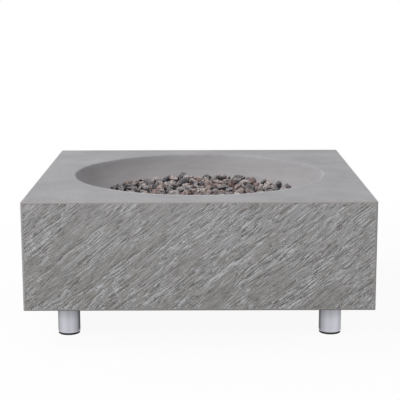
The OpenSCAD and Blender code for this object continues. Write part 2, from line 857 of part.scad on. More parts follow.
module igniter_bezel() {
    edge = 1;
    color([0.72, 0.73, 0.75]) on_panel(igniter_x, plate_front) difference() {
        union() {
            cylinder(r = igniter_flange_r, h = bezel_t - edge);
            translate([0, 0, bezel_t - edge])
                cylinder(r1 = igniter_flange_r, r2 = igniter_flange_r - edge, h = edge);
        }
        translate([0, 0, -over]) cylinder(r = button_d / 2 + run, h = bezel_t + 2 * over);
    }
}

module igniter_button() {
    cap_len = plate_front + bezel_t + button_proud - button_y;
    color([0.14, 0.14, 0.15]) on_panel(igniter_x, button_y) {
        cylinder(r = button_shoulder_r, h = button_shoulder_t);
        cylinder(d = button_d, h = cap_len - button_edge);
        translate([0, 0, cap_len - button_edge])
            cylinder(r1 = button_d / 2, r2 = button_d / 2 - button_edge, h = button_edge);
    }
}

module button_spring() {
    turns = 5;
    color([0.5, 0.5, 0.52]) on_panel(igniter_x, battery_seat + fit)
        coil_spring(button_d / 2 - 2 * fit, spring_wire, button_spring_len - 2 * fit, turns);
}

module igniter_battery() {
    color([0.25, 0.27, 0.3]) on_panel(igniter_x, igniter_y + igniter_end_t + fit) {
        cylinder(r = battery_r, h = battery_len - battery_tip_h);
        cylinder(r = battery_tip_r, h = battery_len);
    }
}

module ignition_lead() {
    lead_out = 60;
    sag = 62;
    sag_reach = 130;
    drop = 48;
    bend = 16;
    start = [igniter_x, igniter_y, pocket_z];
    finish = [electrode_at.x, electrode_at.y, electrode_foot_z];
    route = [start, start - [0, lead_out, 0], finish + [0, sag_reach, -sag], finish - [0, 0, drop], finish];
    color([0.55, 0.12, 0.1]) bent_tube(route, igniter_lead_r, bend);
}

module electrode_insulator() {
    tip_bare = 9;
    collar_rim = 1.5;
    collar_h = 6;
    length = probe_top_z - tip_bare - probe_foot_z;
    color([0.9, 0.89, 0.85]) translate([electrode_at.x, electrode_at.y, 0]) difference() {
        union() {
            translate([0, 0, probe_foot_z]) cylinder(r = insulator_r, h = length);
            translate([0, 0, bracket_z]) cylinder(r = insulator_r + collar_rim, h = collar_h);
        }
        translate([0, 0, probe_foot_z - over]) cylinder(r = electrode_wire_r + fit, h = length + 2 * over);
    }
}

// Spark wire that bends towards the outer ring
module electrode_rod() {
    spark_reach = 18;
    bend = 4;
    foot = [electrode_at.x, electrode_at.y, electrode_foot_z];
    bend_at = [electrode_at.x, electrode_at.y, probe_top_z - electrode_wire_r];
    outward = unit([electrode_at.x, electrode_at.y, 0]);
    route = [foot, bend_at, bend_at + outward * spark_reach];
    color([0.5, 0.5, 0.52]) bent_tube(route, electrode_wire_r, bend);
}

module electrode_bracket() {
    end_edge = 7;
    bracket_w = 2 * (bracket_screw_x + end_edge);
    bracket_d = 22;
    corner = 4;
    color([0.7, 0.71, 0.72]) translate([0, probe_reach, pan_floor_z]) difference() {
        linear_extrude(bracket_t) rounded_plate(bracket_w, bracket_d, corner);
        translate([electrode_at.x, 0, -over]) cylinder(r = insulator_r + fit, h = bracket_t + 2 * over);
        translate([thermocouple_at.x, 0, -over]) cylinder(r = thermocouple_r + fit, h = bracket_t + 2 * over);
        for (x = [-bracket_screw_x, bracket_screw_x]) translate([x, 0, -over])
            cylinder(r = bracket_screw_r + run, h = bracket_t + 2 * over);
    }
}

module bracket_screws() {
    shank = 8;
    head_rim = 1.7;
    head_h = 2.4;
    color([0.75, 0.76, 0.78]) for (x = [-bracket_screw_x, bracket_screw_x]) {
        translate([x, probe_reach, bracket_z - shank]) cylinder(r = bracket_screw_r, h = shank + over);
        translate([x, probe_reach, bracket_z]) cylinder(r = bracket_screw_r + head_rim, h = head_h);
    }
}

module thermocouple() {
    collar_rim = 2;
    collar_h = 5;
    tip_z = probe_top_z - thermocouple_r;
    color([0.62, 0.5, 0.4]) translate([thermocouple_at.x, thermocouple_at.y, 0]) {
        translate([0, 0, probe_foot_z]) cylinder(r = thermocouple_r, h = tip_z - probe_foot_z);
        translate([0, 0, tip_z]) sphere(r = thermocouple_r);
        translate([0, 0, bracket_z]) cylinder(r = thermocouple_r + collar_rim, h = collar_h);
    }
}

module thermocouple_lead() {
    lead_out = 60;
    drop = 44;
    bend = 14;
    start = [probe_x, valve_y - probe_nut_len, probe_z];
    finish = [thermocouple_at.x, thermocouple_at.y, probe_foot_z];
    route = [start, start - [0, lead_out, 0], finish - [0, 0, drop], finish];
    color([0.68, 0.45, 0.3]) bent_tube(route, probe_lead_r, bend);
}

module thermocouple_nut() {
    color([0.76, 0.62, 0.3]) on_panel(probe_x, valve_y - probe_nut_len, probe_z)
        hex_bar(probe_nut_flats, probe_nut_len);
}

// Flare union that points down, where a supply hose screws on
module inlet_union() {
    flats = 22;
    nose_h = 3;
    nose_top = 0.5;
    nose_end = 2.5;
    color([0.78, 0.64, 0.32]) translate([valve_x, inlet_y, inlet_z]) difference() {
        union() {
            translate([0, 0, inlet_len]) hex_bar(flats, inlet_hex_h);
            cylinder(d = inlet_d, h = inlet_len + over);
            translate([0, 0, -nose_h])
                cylinder(r1 = inlet_d / 2 - nose_end, r2 = inlet_d / 2 - nose_top, h = nose_h);
        }
        translate([0, 0, -nose_h - over])
            cylinder(r = inlet_bore_r, h = nose_h + inlet_len + inlet_hex_h + 2 * over);
    }
}

// Lower layers of stones as one body: it lies on the bowl's floor and bridges the burner
module lava_bed() {
    bridge_r = pan_r - pan_t - bed_clear;
    color([0.28, 0.25, 0.25]) rotate_extrude() {
        intersection() {
            bowl_section(-bed_gap, table_h);
            square([bed_edge_r, bed_z]);
        }
        translate([0, bed_floor_z]) square([bridge_r, bed_z - bed_floor_z]);
    }
}

// Points of an icosahedron with a corner at each pole
function stone_ways() = [
    [0, 0, 1],
    for (k = [0 : 4]) [2 * cos(72 * k), 2 * sin(72 * k), 1] / sqrt(5),
    for (k = [0 : 4]) [2 * cos(72 * k + 36), 2 * sin(72 * k + 36), -1] / sqrt(5),
    [0, 0, -1]
];

function stone_faces(first) = [
    for (k = [0 : 4])
        let (a = 1 + k, b = 1 + (k + 1) % 5, c = 6 + k, d = 6 + (k + 1) % 5)
        each [
            [first, first + b, first + a], [first + a, first + b, first + c],
            [first + b, first + d, first + c], [first + 11, first + c, first + d]
        ]
];

// How far a stone may reach along a direction before it meets its share of the gap to a neighbour
function room(at, way, near) = min([for (other = near)
    let (gap = other - at, lean = [way.x, way.y] * gap / norm(gap))
    lean > 0.01 ? (norm(gap) / 2 - stone_gap / 2) / lean : stone_h]);

// Stones on a sunflower spiral, each inside its own cell, so that none meets another
module lava_rocks() {
    ways = stone_ways();
    corners_each = len(ways);
    draws = corners_each + 2;
    edge = bed_edge_r - 3;
    outermost = edge - 9;
    pitch = edge / sqrt(stone_count);
    jitter = 0.3 * pitch;
    edge_slope = 45;
    shuffle = rands(-jitter, jitter, 2 * stone_count, 11);
    sizes = rands(0, 1, draws * stone_count, 23);
    spots = [for (i = [0 : stone_count - 1])
        let (r = pitch * sqrt(i + 0.5), a = i * 137.508)
        [r * cos(a) + shuffle[2 * i], r * sin(a) + shuffle[2 * i + 1]]];
    places = [for (spot = spots) spot * min(1, outermost / norm(spot))];
    points = [for (i = [0 : stone_count - 1])
        let (
            at = places[i],
            to_edge = edge - norm(at),
            near = [for (other = places) if (other != at && norm(other - at) < 4 * pitch) other],
            tall = min(1, max(0.45, to_edge / edge_slope)) * (0.56 + 0.44 * sizes[draws * i]),
            half = stone_h * tall / 2,
            spin = 360 * sizes[draws * i + 1],
            outward = unit(at)
        )
        for (k = [0 : corners_each - 1])
            let (
                way = [
                    ways[k].x * cos(spin) - ways[k].y * sin(spin),
                    ways[k].x * sin(spin) + ways[k].y * cos(spin), ways[k].z
                ],
                lean = [way.x, way.y] * outward,
                wish = pitch * (0.8 + 0.5 * sizes[draws * i + 2 + k]),
                side = min(wish, room(at, way, near), lean > 0.01 ? to_edge / lean : wish)
            )
            [at.x, at.y, bed_z + half + fit] + way * min(side, half / max(0.01, abs(way.z)))];
    color([0.3, 0.26, 0.26])
        polyhedron(points, [for (i = [0 : stone_count - 1]) each stone_faces(corners_each * i)]);
}

table_body();
for (corner = corners) at_leg(corner) leg_tube();
leg_end_caps();
leg_top_plates();
leg_inserts();
leg_studs();
for (corner = corners) at_leg(corner) foot_pad();
for (corner = corners) at_leg(corner) foot_stem();
burner_pan();
burner_ring();
burner_nipple();
pan_locknut();
air_mixer();
gas_orifice();
feed_tube();
tube_nuts();
control_plate();
plate_gasket();
plate_screws();
plate_anchors();
gas_valve();
valve_bonnet();
valve_nut();
stem_collar();
stem_spring();
valve_stem();
control_knob();
igniter_body();
igniter_bezel();
igniter_button();
button_spring();
igniter_battery();
ignition_lead();
electrode_insulator();
electrode_rod();
electrode_bracket();
bracket_screws();
thermocouple();
thermocouple_lead();
thermocouple_nut();
inlet_union();
lava_bed();
lava_rocks();
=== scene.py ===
# Square fire pit table: cast concrete with split-slate sides, a bowl of lava stones,
# four steel tube legs and a gas control panel in the back wall
import json
import math

import bmesh
import bpy
import numpy as np
from mathutils import Matrix, Vector


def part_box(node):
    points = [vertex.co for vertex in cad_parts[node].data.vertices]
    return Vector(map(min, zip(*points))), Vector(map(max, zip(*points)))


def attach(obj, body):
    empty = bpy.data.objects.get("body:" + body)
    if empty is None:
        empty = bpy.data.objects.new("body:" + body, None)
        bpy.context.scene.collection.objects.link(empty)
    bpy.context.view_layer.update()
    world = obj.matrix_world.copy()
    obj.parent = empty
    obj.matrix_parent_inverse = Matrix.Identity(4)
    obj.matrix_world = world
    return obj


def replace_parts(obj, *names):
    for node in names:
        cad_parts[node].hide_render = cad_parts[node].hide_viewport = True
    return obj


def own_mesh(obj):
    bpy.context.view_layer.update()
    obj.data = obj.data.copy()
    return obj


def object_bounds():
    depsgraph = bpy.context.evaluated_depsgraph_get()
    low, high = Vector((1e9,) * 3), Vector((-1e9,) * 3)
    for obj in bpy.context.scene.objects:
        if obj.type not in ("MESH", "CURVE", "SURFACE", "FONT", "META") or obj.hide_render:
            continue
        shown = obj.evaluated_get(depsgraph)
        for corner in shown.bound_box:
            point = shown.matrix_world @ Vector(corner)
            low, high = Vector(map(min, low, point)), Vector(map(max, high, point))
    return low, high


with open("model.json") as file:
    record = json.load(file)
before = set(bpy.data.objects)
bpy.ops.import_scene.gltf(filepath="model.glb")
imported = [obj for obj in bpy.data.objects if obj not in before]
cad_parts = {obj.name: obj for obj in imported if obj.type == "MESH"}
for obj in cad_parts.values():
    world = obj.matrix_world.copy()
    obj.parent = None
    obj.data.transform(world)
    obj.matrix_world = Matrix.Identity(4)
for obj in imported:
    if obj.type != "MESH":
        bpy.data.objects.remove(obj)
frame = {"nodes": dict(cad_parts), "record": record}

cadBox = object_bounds()
nodes = frame["nodes"]
slotOf = {part["node"]: part["material_slot"] for part in frame["record"]["subparts"]}
mm = 0.001
legCorners = ("fl", "fr", "bl", "br")
bodyLow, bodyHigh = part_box("table_body")
print("frame:", len(nodes), "nodes")


# camera where the photograph was taken from

photoView = {
    "place": (0.0024, -3.7096, 1.0323),
    "tiltDown": 10.749,
    "roll": -0.16,
    "lens": 103.63,
}

lens = bpy.data.cameras.new("photoCamera")
lens.lens = photoView["lens"]
photoCamera = bpy.data.objects.new("photoCamera", lens)
bpy.context.scene.collection.objects.link(photoCamera)
tilt = Matrix.Rotation(math.radians(90 - photoView["tiltDown"]), 4, "X")
roll = Matrix.Rotation(math.radians(photoView["roll"]), 4, "Z")
photoCamera.matrix_world = Matrix.Translation(photoView["place"]) @ tilt @ roll
bpy.context.scene.camera = photoCamera
bpy.context.scene.view_settings.view_transform = "Standard"


# small helpers for node materials

def feed(tree, socket, value):
    if isinstance(value, bpy.types.NodeSocket):
        tree.links.new(value, socket)
    else:
        socket.default_value = value


def addNode(tree, kind, sockets, **settings):
    made = tree.nodes.new("ShaderNode" + kind)
    for key, value in settings.items():
        setattr(made, key, value)
    for key, value in sockets.items():
        feed(tree, made.inputs[key], value)
    return made


def newFinish(name, sockets):
    finish = bpy.data.materials.new(name)
    finish.use_nodes = True
    skin = finish.node_tree.nodes["Principled BSDF"]
    for key, value in sockets.items():
        skin.inputs[key].default_value = value
    return finish, finish.node_tree, skin


def bareMaterial(name):
    paint = bpy.data.materials.new(name)
    paint.use_nodes = True
    paint.node_tree.nodes.clear()
    return paint, paint.node_tree


def placeOn(tree, stretch=(1, 1, 1)):
    spot = tree.nodes.new("ShaderNodeTexCoord").outputs["Object"]
    return addNode(tree, "Mapping", {"Vector": spot, "Scale": stretch}).outputs["Vector"]


def cloud(tree, scale, detail=3.0, rough=0.55, stretch=(1, 1, 1)):
    sockets = {"Vector": placeOn(tree, stretch), "Scale": scale, "Detail": detail, "Roughness": rough}
    return addNode(tree, "TexNoise", sockets).outputs["Fac"]


def sums(tree, operation, first, second=0.0):
    return addNode(tree, "Math", {0: first, 1: second}, operation=operation).outputs[0]


def times(tree, first, second):
    return sums(tree, "MULTIPLY", first, second)


def plus(tree, first, second):
    return sums(tree, "ADD", first, second)


def mixed(tree, first, second, share):
    # this share of the first and the rest of the second
    return plus(tree, times(tree, first, share), times(tree, second, 1 - share))


def spread(tree, value, low, high, toLow=0.0, toHigh=1.0):
    sockets = {"Value": value, "From Min": low, "From Max": high, "To Min": toLow, "To Max": toHigh}
    return addNode(tree, "MapRange", sockets).outputs["Result"]


def ramp(tree, value, stops):
    strip = addNode(tree, "ValToRGB", {"Fac": value})
    band = strip.color_ramp
    band.elements[0].position, band.elements[0].color = stops[0][0], (*stops[0][1], 1)
    band.elements[1].position, band.elements[1].color = stops[-1][0], (*stops[-1][1], 1)
    for place, colour in stops[1:-1]:
        band.elements.new(place).color = (*colour, 1)
    return strip.outputs["Color"]


def blendColour(tree, share, first, second):
    if isinstance(second, tuple):
        second = (*second, 1)
    mixer = tree.nodes.new("ShaderNodeMix")
    mixer.data_type = "RGBA"
    for index, value in ((0, share), (6, first), (7, second)):
        feed(tree, mixer.inputs[index], value)
    return mixer.outputs[2]


def attribute(tree, name):
    return addNode(tree, "Attribute", {}, attribute_name=name).outputs["Fac"]


def dress(tree, skin, colour, roughness, height, depth, strength=1.0):
    lump = addNode(tree, "Bump", {"Height": height, "Distance": depth, "Strength": strength})
    tree.links.new(colour, skin.inputs["Base Color"])
    tree.links.new(roughness, skin.inputs["Roughness"])
    tree.links.new(lump.outputs["Normal"], skin.inputs["Normal"])


# small helpers for meshes

def newMesh(name, points, faces, values={}):
    mesh = bpy.data.meshes.new(name)
    mesh.from_pydata(points, [], faces)
    for key, value in values.items():
        layer = mesh.attributes.new(key, "FLOAT", "POINT")
        layer.data.foreach_set("value", np.asarray(value, np.float32).ravel())
    return mesh


def softShade(mesh, sharpFrom):
    mesh.shade_smooth()
    mesh.set_sharp_from_angle(angle=math.radians(sharpFrom))


def tubeFaces(rings, count):
    # one face between each two points of a ring and those of the next ring
    return [(ring * count + i, ring * count + (i + 1) % count,
             (ring + 1) * count + (i + 1) % count, (ring + 1) * count + i)
            for ring in range(rings) for i in range(count)]


def closedTube(rings, count):
    last = rings * count
    return tubeFaces(rings, count) + [tuple(range(count))[::-1], tuple(range(last, last + count))]


def newPiece(name, mesh, finish, body):
    mesh.materials.append(finish)
    piece = bpy.data.objects.new(name, mesh)
    bpy.context.scene.collection.objects.link(piece)
    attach(piece, body)
    return piece


# studio: white floor that keeps a soft shadow, white surround, soft light from the upper left

studio = {
    "floorHalf": 9.0,
    "floorColour": 0.78, "floorSeen": 0.98,   # what lights the table, and what the camera sees
    "floorWhite": 0.93,                       # share of plain white seen near the table, all white far off
    "shadowReach": (0.8, 2.2),
    "surround": (0.465, 0.467, 0.47), "aimHeight": 0.8,
    "keyPlace": (-6.4, 1.0, 7.7), "keySize": 2.8, "keyPower": 315.0,
    "sidePlace": (-5.4, -5.85, 4.6), "sideSize": 2.4, "sidePower": 237.0,
    # glowing tent round each leg, seen only in reflections: it paints the light and dark reflections on
    # the tubes, dims from one height to another, and is a little lighter on the right
    "tentReach": 0.052, "tentFrom": 0.0005, "tentDim": (0.035, 0.1, 1.0, 0.28), "tentLift": 0.1,
    "tentSides": 72, "tentRows": 8,
    # its tones by degrees from behind the leg towards the table's middle
    "tent": [(-180, 0.80), (-160, 0.92), (-138, 0.95), (-100, 0.64), (-70, 0.45), (-40, 0.36), (0, 0.11),
             (72, 0.11), (88, 0.18), (110, 0.50), (129, 0.64), (157, 0.86), (180, 0.80)],
}


def seenDirectly(tree):
    ray = tree.nodes.new("ShaderNodeLightPath")
    shiny = sums(tree, "MAXIMUM", ray.outputs["Is Glossy Ray"], ray.outputs["Is Transmission Ray"])
    return sums(tree, "MAXIMUM", ray.outputs["Is Camera Ray"], shiny)


def lightStudio():
    world = bpy.data.worlds.new("studioSurround")
    bpy.context.scene.world = world
    world.use_nodes = True
    tree = world.node_tree
    tree.nodes.clear()
    glow = addNode(tree, "Background", {"Color": (*studio["surround"], 1), "Strength": 1.0})
    white = addNode(tree, "Background", {"Color": (1, 1, 1, 1), "Strength": 1.0})
    choice = addNode(tree, "MixShader", {0: seenDirectly(tree), 1: glow.outputs[0], 2: white.outputs[0]})
    addNode(tree, "OutputWorld", {"Surface": choice.outputs[0]})

    for name in ("key", "side"):
        lamp = bpy.data.lights.new(name + "Box", "AREA")
        lamp.shape = "SQUARE"
        lamp.size = studio[name + "Size"]
        lamp.energy = studio[name + "Power"]
        box = bpy.data.objects.new(name + "Box", lamp)
        box.location = studio[name + "Place"]
        aim = Vector((0, 0, bodyHigh.z * studio["aimHeight"])) - box.location
        box.rotation_euler = aim.to_track_quat("-Z", "Y").to_euler()
        bpy.context.scene.collection.objects.link(box)


def layFloor():
    half = studio["floorHalf"]
    edge = [(-half, -half, 0), (half, -half, 0), (half, half, 0), (-half, half, 0)]
    sheet = newMesh("studioFloor", edge, [(0, 1, 2, 3)])
    floor = bpy.data.objects.new("studioFloor", sheet)
    floor.location.z = cadBox[0].z
    bpy.context.scene.collection.objects.link(floor)
    paint, tree = bareMaterial("floorWhite")
    seen = seenDirectly(tree)
    tone = spread(tree, seen, 0.0, 1.0, studio["floorColour"], studio["floorSeen"])
    matt = addNode(tree, "BsdfDiffuse", {"Color": tone})
    white = addNode(tree, "Emission", {"Color": (1, 1, 1, 1), "Strength": 1.0})
    away = addNode(tree, "VectorMath", {0: placeOn(tree)}, operation="LENGTH").outputs["Value"]
    plain = spread(tree, away, *studio["shadowReach"], studio["floorWhite"], 1.0)
    share = times(tree, seen, plain)
    choice = addNode(tree, "MixShader", {0: share, 1: matt.outputs[0], 2: white.outputs[0]})
    addNode(tree, "OutputMaterial", {"Surface": choice.outputs[0]})
    sheet.materials.append(paint)


def legReflectionTent(middle, top):
    # a grey tent that glows, seen only in reflections, paints the light and dark edges of the steel tubes
    turns, tones = zip(*studio["tent"])
    low, high, full, dim = studio["tentDim"]
    toMiddle = -1 if middle.x > 0 else 1
    behind = 1 if middle.y < 0 else -1
    lift = studio["tentLift"] if middle.x > 0 else 0.0
    sides, rows = studio["tentSides"], studio["tentRows"]
    points, glow = [], []
    for row in range(rows + 1):
        z = studio["tentFrom"] + (top - studio["tentFrom"]) * row / rows
        for turn in np.linspace(-180, 180, sides, endpoint=False):
            points.append((middle.x + toMiddle * studio["tentReach"] * math.sin(math.radians(turn)),
                           middle.y + behind * studio["tentReach"] * math.cos(math.radians(turn)), z))
            tone = lift + (1 - lift) * np.interp(turn, turns, tones)
            glow.append(tone * np.interp(z, (low, high), (full, dim)))
    card = newMesh("legReflectionTent", points, tubeFaces(rows, sides), {"glow": glow})
    cloth, tree = bareMaterial("tentReflectionGlow")
    tone = addNode(tree, "Emission", {"Color": (1, 1, 1, 1), "Strength": attribute(tree, "glow")})
    addNode(tree, "OutputMaterial", {"Surface": tone.outputs[0]})
    card.materials.append(cloth)
    tent = bpy.data.objects.new("legReflectionTent", card)
    bpy.context.scene.collection.objects.link(tent)
    tent.visible_camera = False
    tent.visible_diffuse = False
    tent.visible_shadow = False
    tent.visible_transmission = False


lightStudio()
layFloor()
for corner in legCorners:
    tubeLow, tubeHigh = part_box("leg_tube_" + corner)
    legReflectionTent((tubeLow + tubeHigh) / 2, tubeHigh.z - 0.5 * mm)
print("studio lit")


# finishes

slateLook = {
    "tones": [(0.0, (0.184, 0.171, 0.158)), (0.26, (0.224, 0.208, 0.190)), (0.42, (0.290, 0.275, 0.258)),
              (0.55, (0.374, 0.360, 0.350)), (0.70, (0.482, 0.477, 0.490)), (0.84, (0.580, 0.582, 0.603)),
              (1.0, (0.665, 0.668, 0.688))],
    "brown": (0.290, 0.265, 0.235), "brownMost": 0.15, "pale": (0.47, 0.47, 0.49),
    "fibre": (36.0, 3.2),                       # length and width in mm
    "layers": [(8.6, 110.0, 64.0, 3.0, 0.95),   # spacing, wander and length in mm, shift, strength
               (6.3, 90.0, 36.0, 5.0, 1.0)],
    "sway": 4.0, "ragged": 1.4, "lip": 1.25, "split": 0.82,
    "grainScale": 260.0, "streakScale": 60.0, "chipScale": 300.0, "gritScale": 1000.0,
    "fibreTone": 0.35, "gritTone": 0.3, "splitBump": 0.5, "gritBump": 0.35, "grainDepth": 1.4 * mm,
}


def splitSlate():
    look = slateLook
    finish, tree, skin = newFinish("splitSlate", {"Specular IOR Level": 0.3})
    grain = cloud(tree, look["grainScale"], 1.0, 0.6)
    streaks = cloud(tree, look["streakScale"], 4.0, 0.6)
    chipped = cloud(tree, look["chipScale"], 4.0, 0.65)
    grit = cloud(tree, look["gritScale"], 3.0, 0.7)
    along, across = attribute(tree, "along"), attribute(tree, "across")

    def drawn(x, y, shift, detail, rough):
        spot = addNode(tree, "CombineXYZ", {"X": x, "Y": y, "Z": shift})
        sockets = {"Vector": spot.outputs[0], "Scale": 1.0, "Detail": detail, "Roughness": rough}
        return addNode(tree, "TexNoise", sockets).outputs["Fac"]

    def fibres(long, wide, shift):
        # noise drawn out along the layers
        x, y = sums(tree, "DIVIDE", along, long * mm), sums(tree, "DIVIDE", across, wide * mm)
        return drawn(x, y, shift, 1.0, 0.6)

    def layers(spacing, wander, length, shift, depth):
        # thin layers, each with a light lip under a dark split, broken here and there: bump, and painted
        # light and painted shade in the colour
        sway = times(tree, fibres(wander, 1.6 * spacing, shift), look["sway"])
        climb = plus(tree, sums(tree, "DIVIDE", across, spacing * mm), sway)
        climb = plus(tree, climb, times(tree, chipped, look["ragged"]))
        part = sums(tree, "FRACT", climb)
        number = times(tree, sums(tree, "FLOOR", climb), 5.7)
        keep = drawn(sums(tree, "DIVIDE", along, length * mm), number, shift, 3.0, 0.65)
        shown = spread(tree, keep, 0.4, 0.6, 0.0, depth)
        lip = times(tree, spread(tree, part, 0.25, 0.6), spread(tree, part, 0.78, 0.68))
        split = times(tree, spread(tree, part, 0.68, 0.8), spread(tree, part, 1.0, 0.92))
        profile = sums(tree, "SUBTRACT", times(tree, lip, look["lip"]), times(tree, split, look["split"]))
        return times(tree, profile, shown)

    fine = mixed(tree, fibres(*look["fibre"], 0.0), grain, 0.6)
    thick, thin = look["layers"]
    split = plus(tree, layers(*thick), layers(*thin))
    # the colour takes the grain and these layers, so the splits are painted shade and the lips painted
    # light
    toneAndShade = plus(tree, spread(tree, fine, 0.3, 0.7, -look["fibreTone"], look["fibreTone"]), split)
    strength = spread(tree, attribute(tree, "rough"), 0.1, 1.1, 0.3, 1.1)
    toneAndShade = plus(tree, attribute(tree, "toneAndShade"), times(tree, toneAndShade, strength))
    toneAndShade = plus(tree, toneAndShade, spread(tree, grit, 0.3, 0.7, -look["gritTone"], look["gritTone"]))
    colour = ramp(tree, spread(tree, toneAndShade, -0.4, 1.3), look["tones"])
    stain = plus(tree, attribute(tree, "tint"), times(tree, streaks, 0.4))
    stain = spread(tree, stain, 0.85, 1.2, 0.0, look["brownMost"])
    colour = blendColour(tree, stain, colour, look["brown"])
    colour = blendColour(tree, attribute(tree, "pale"), colour, look["pale"])
    height = plus(tree, fine, times(tree, split, look["splitBump"]))
    height = plus(tree, height, times(tree, grit, look["gritBump"]))
    dress(tree, skin, colour, spread(tree, streaks, 0.3, 0.7, 0.76, 0.94), height, look["grainDepth"])
    return finish


concreteLook = {
    "dark": (0.340, 0.336, 0.350), "mid": (0.396, 0.392, 0.409), "light": (0.450, 0.446, 0.464),
    "cloudScale": 7.0, "fineScale": 90.0,
    "borderScale": 240.0, "borderIn": (4.6 * mm, 2.6 * mm), "borderDown": (1.2 * mm, 3.4 * mm),
    # painted shade along the bottom edge
    "bottomShade": (0.17, 0.165, 0.16), "bottomShadeUp": (4.5 * mm, 1.5 * mm), "bottomShadeMost": 0.9,
    "edge": (0.448, 0.416, 0.396), "edgeWide": 3.2 * mm,
    # bowl tones: painted shade and warm bounce light, with some soot and dust
    "bowl": [(0.36, (0.358, 0.337, 0.347)), (0.64, (0.402, 0.381, 0.391))], "bowlShadeShare": 0.8,
    "bowlReach": (0.401, 0.395), "bowlFrom": (0.30, 0.31), "strokes": (9.0, 5.0, 0.62, (1, 1, 7)),
    # painted highlight on the bowl's rounded rim
    "rim": (0.56, 0.555, 0.575), "rimHighlightMost": 0.7, "rimFrom": (0.40, 0.41),
    "rimInner": (0.393, 0.399), "rimOuter": (0.4065, 0.4045), "rimWider": 0.012,
    # pinholes, with painted shade inside them
    "pit": (0.16, 0.155, 0.155), "pitShare": 0.35, "pitScale": 160.0, "pitDepth": 0.25 * mm,
}


def castConcrete():
    look = concreteLook
    finish, tree, skin = newFinish("castConcrete", {"Specular IOR Level": 0.3})
    wide = cloud(tree, look["cloudScale"], 5.0, 0.6)
    fine = cloud(tree, look["fineScale"], 4.0, 0.65)
    mottle = mixed(tree, wide, fine, 0.6)
    colour = ramp(tree, mottle, [(0.36, look["dark"]), (0.5, look["mid"]), (0.64, look["light"])])
    spot = addNode(tree, "SeparateXYZ", {"Vector": placeOn(tree)})
    x, y, z = (spot.outputs[axis] for axis in "XYZ")
    outward = sums(tree, "MAXIMUM", sums(tree, "ABSOLUTE", x), sums(tree, "ABSOLUTE", y))

    # the narrow border round each slate panel has the panel's tone, with painted shade along the bottom
    # edge
    flank = times(tree, spread(tree, outward, *(bodyHigh.x - inside for inside in look["borderIn"])),
                  spread(tree, z, *(bodyHigh.z - down for down in look["borderDown"])))
    low, middle, high = (tone for _, tone in slateLook["tones"][2:5])
    rubbed = cloud(tree, look["borderScale"], 4.0, 0.65)
    border = ramp(tree, rubbed, [(0.34, low), (0.5, middle), (0.68, high)])
    colour = blendColour(tree, flank, colour, border)
    shadedBottom = spread(tree, z, *(bodyLow.z + up for up in look["bottomShadeUp"]), 0.0, look["bottomShadeMost"])
    colour = blendColour(tree, times(tree, shadedBottom, flank), colour, look["bottomShade"])

    # the chamfer round the top is a little lighter and warmer
    corner, edge = bodyHigh.x + bodyHigh.z, look["edgeWide"]
    chamferTone = spread(tree, plus(tree, outward, z), corner - edge * 1.6, corner - edge * 0.9)
    chamferTone = times(tree, chamferTone, spread(tree, fine, 0.3, 0.6, 0.45, 1.0))
    colour = blendColour(tree, chamferTone, colour, look["edge"])

    # the bowl is painted a little darker and warmer, partly painted shade and warm bounce light from the
    # stones, partly soot and dust, with faint level strokes of the trowel
    flatWay = addNode(tree, "CombineXYZ", {"X": x, "Y": y}).outputs[0]
    reach = addNode(tree, "VectorMath", {0: flatWay}, operation="LENGTH").outputs["Value"]
    inBowl = times(tree, spread(tree, reach, *look["bowlReach"]), spread(tree, z, *look["bowlFrom"]))
    trowelledAndShaded = ramp(tree, cloud(tree, *look["strokes"]), look["bowl"])
    colour = blendColour(tree, times(tree, inBowl, look["bowlShadeShare"]), colour, trowelledAndShaded)

    # painted highlight on its rounded rim, where the light catches it towards the front and right, wider at
    # the front
    front = spread(tree, y, -0.2, -0.38)
    outer = sums(tree, "SUBTRACT", reach, times(tree, front, look["rimWider"]))
    rimHighlight = times(tree, spread(tree, reach, *look["rimInner"]), spread(tree, outer, *look["rimOuter"]))
    facing = sums(tree, "SUBTRACT", times(tree, x, 0.25), y)
    rimHighlight = times(tree, rimHighlight, spread(tree, facing, 0.08, 0.3))
    rimHighlight = times(tree, rimHighlight, spread(tree, z, *look["rimFrom"], 0.0, look["rimHighlightMost"]))
    colour = blendColour(tree, rimHighlight, colour, look["rim"])

    # scattered pinholes left by the mould, with painted shade inside them
    cells = addNode(tree, "TexVoronoi", {"Vector": placeOn(tree), "Scale": look["pitScale"]})
    rare = spread(tree, cloud(tree, 35.0, 2.0), 0.52, 0.62)
    hole = times(tree, spread(tree, cells.outputs["Distance"], 0.16, 0.07), rare)
    colour = blendColour(tree, times(tree, hole, look["pitShare"]), colour, look["pit"])
    height = sums(tree, "SUBTRACT", times(tree, fine, 0.5), hole)
    dress(tree, skin, colour, spread(tree, fine, 0.3, 0.7, 0.74, 0.9), height, look["pitDepth"])
    return finish


lavaLook = {
    "tones": [(0.0, (0.007, 0.007, 0.008)), (0.22, (0.062, 0.063, 0.073)), (0.46, (0.182, 0.180, 0.197)),
              (0.68, (0.318, 0.300, 0.310)), (0.86, (0.450, 0.408, 0.404)), (1.0, (0.70, 0.64, 0.61))],
    "patchScale": 90.0, "speckleScale": 240.0, "speckle": (-0.29, 0.36),
    "rust": (0.400, 0.262, 0.228),
    # pores, painted dark as their shade
    "pore": (0.02, 0.018, 0.018), "poreShare": 0.6, "poreScale": 210.0, "poreDepth": 1.6 * mm,
}


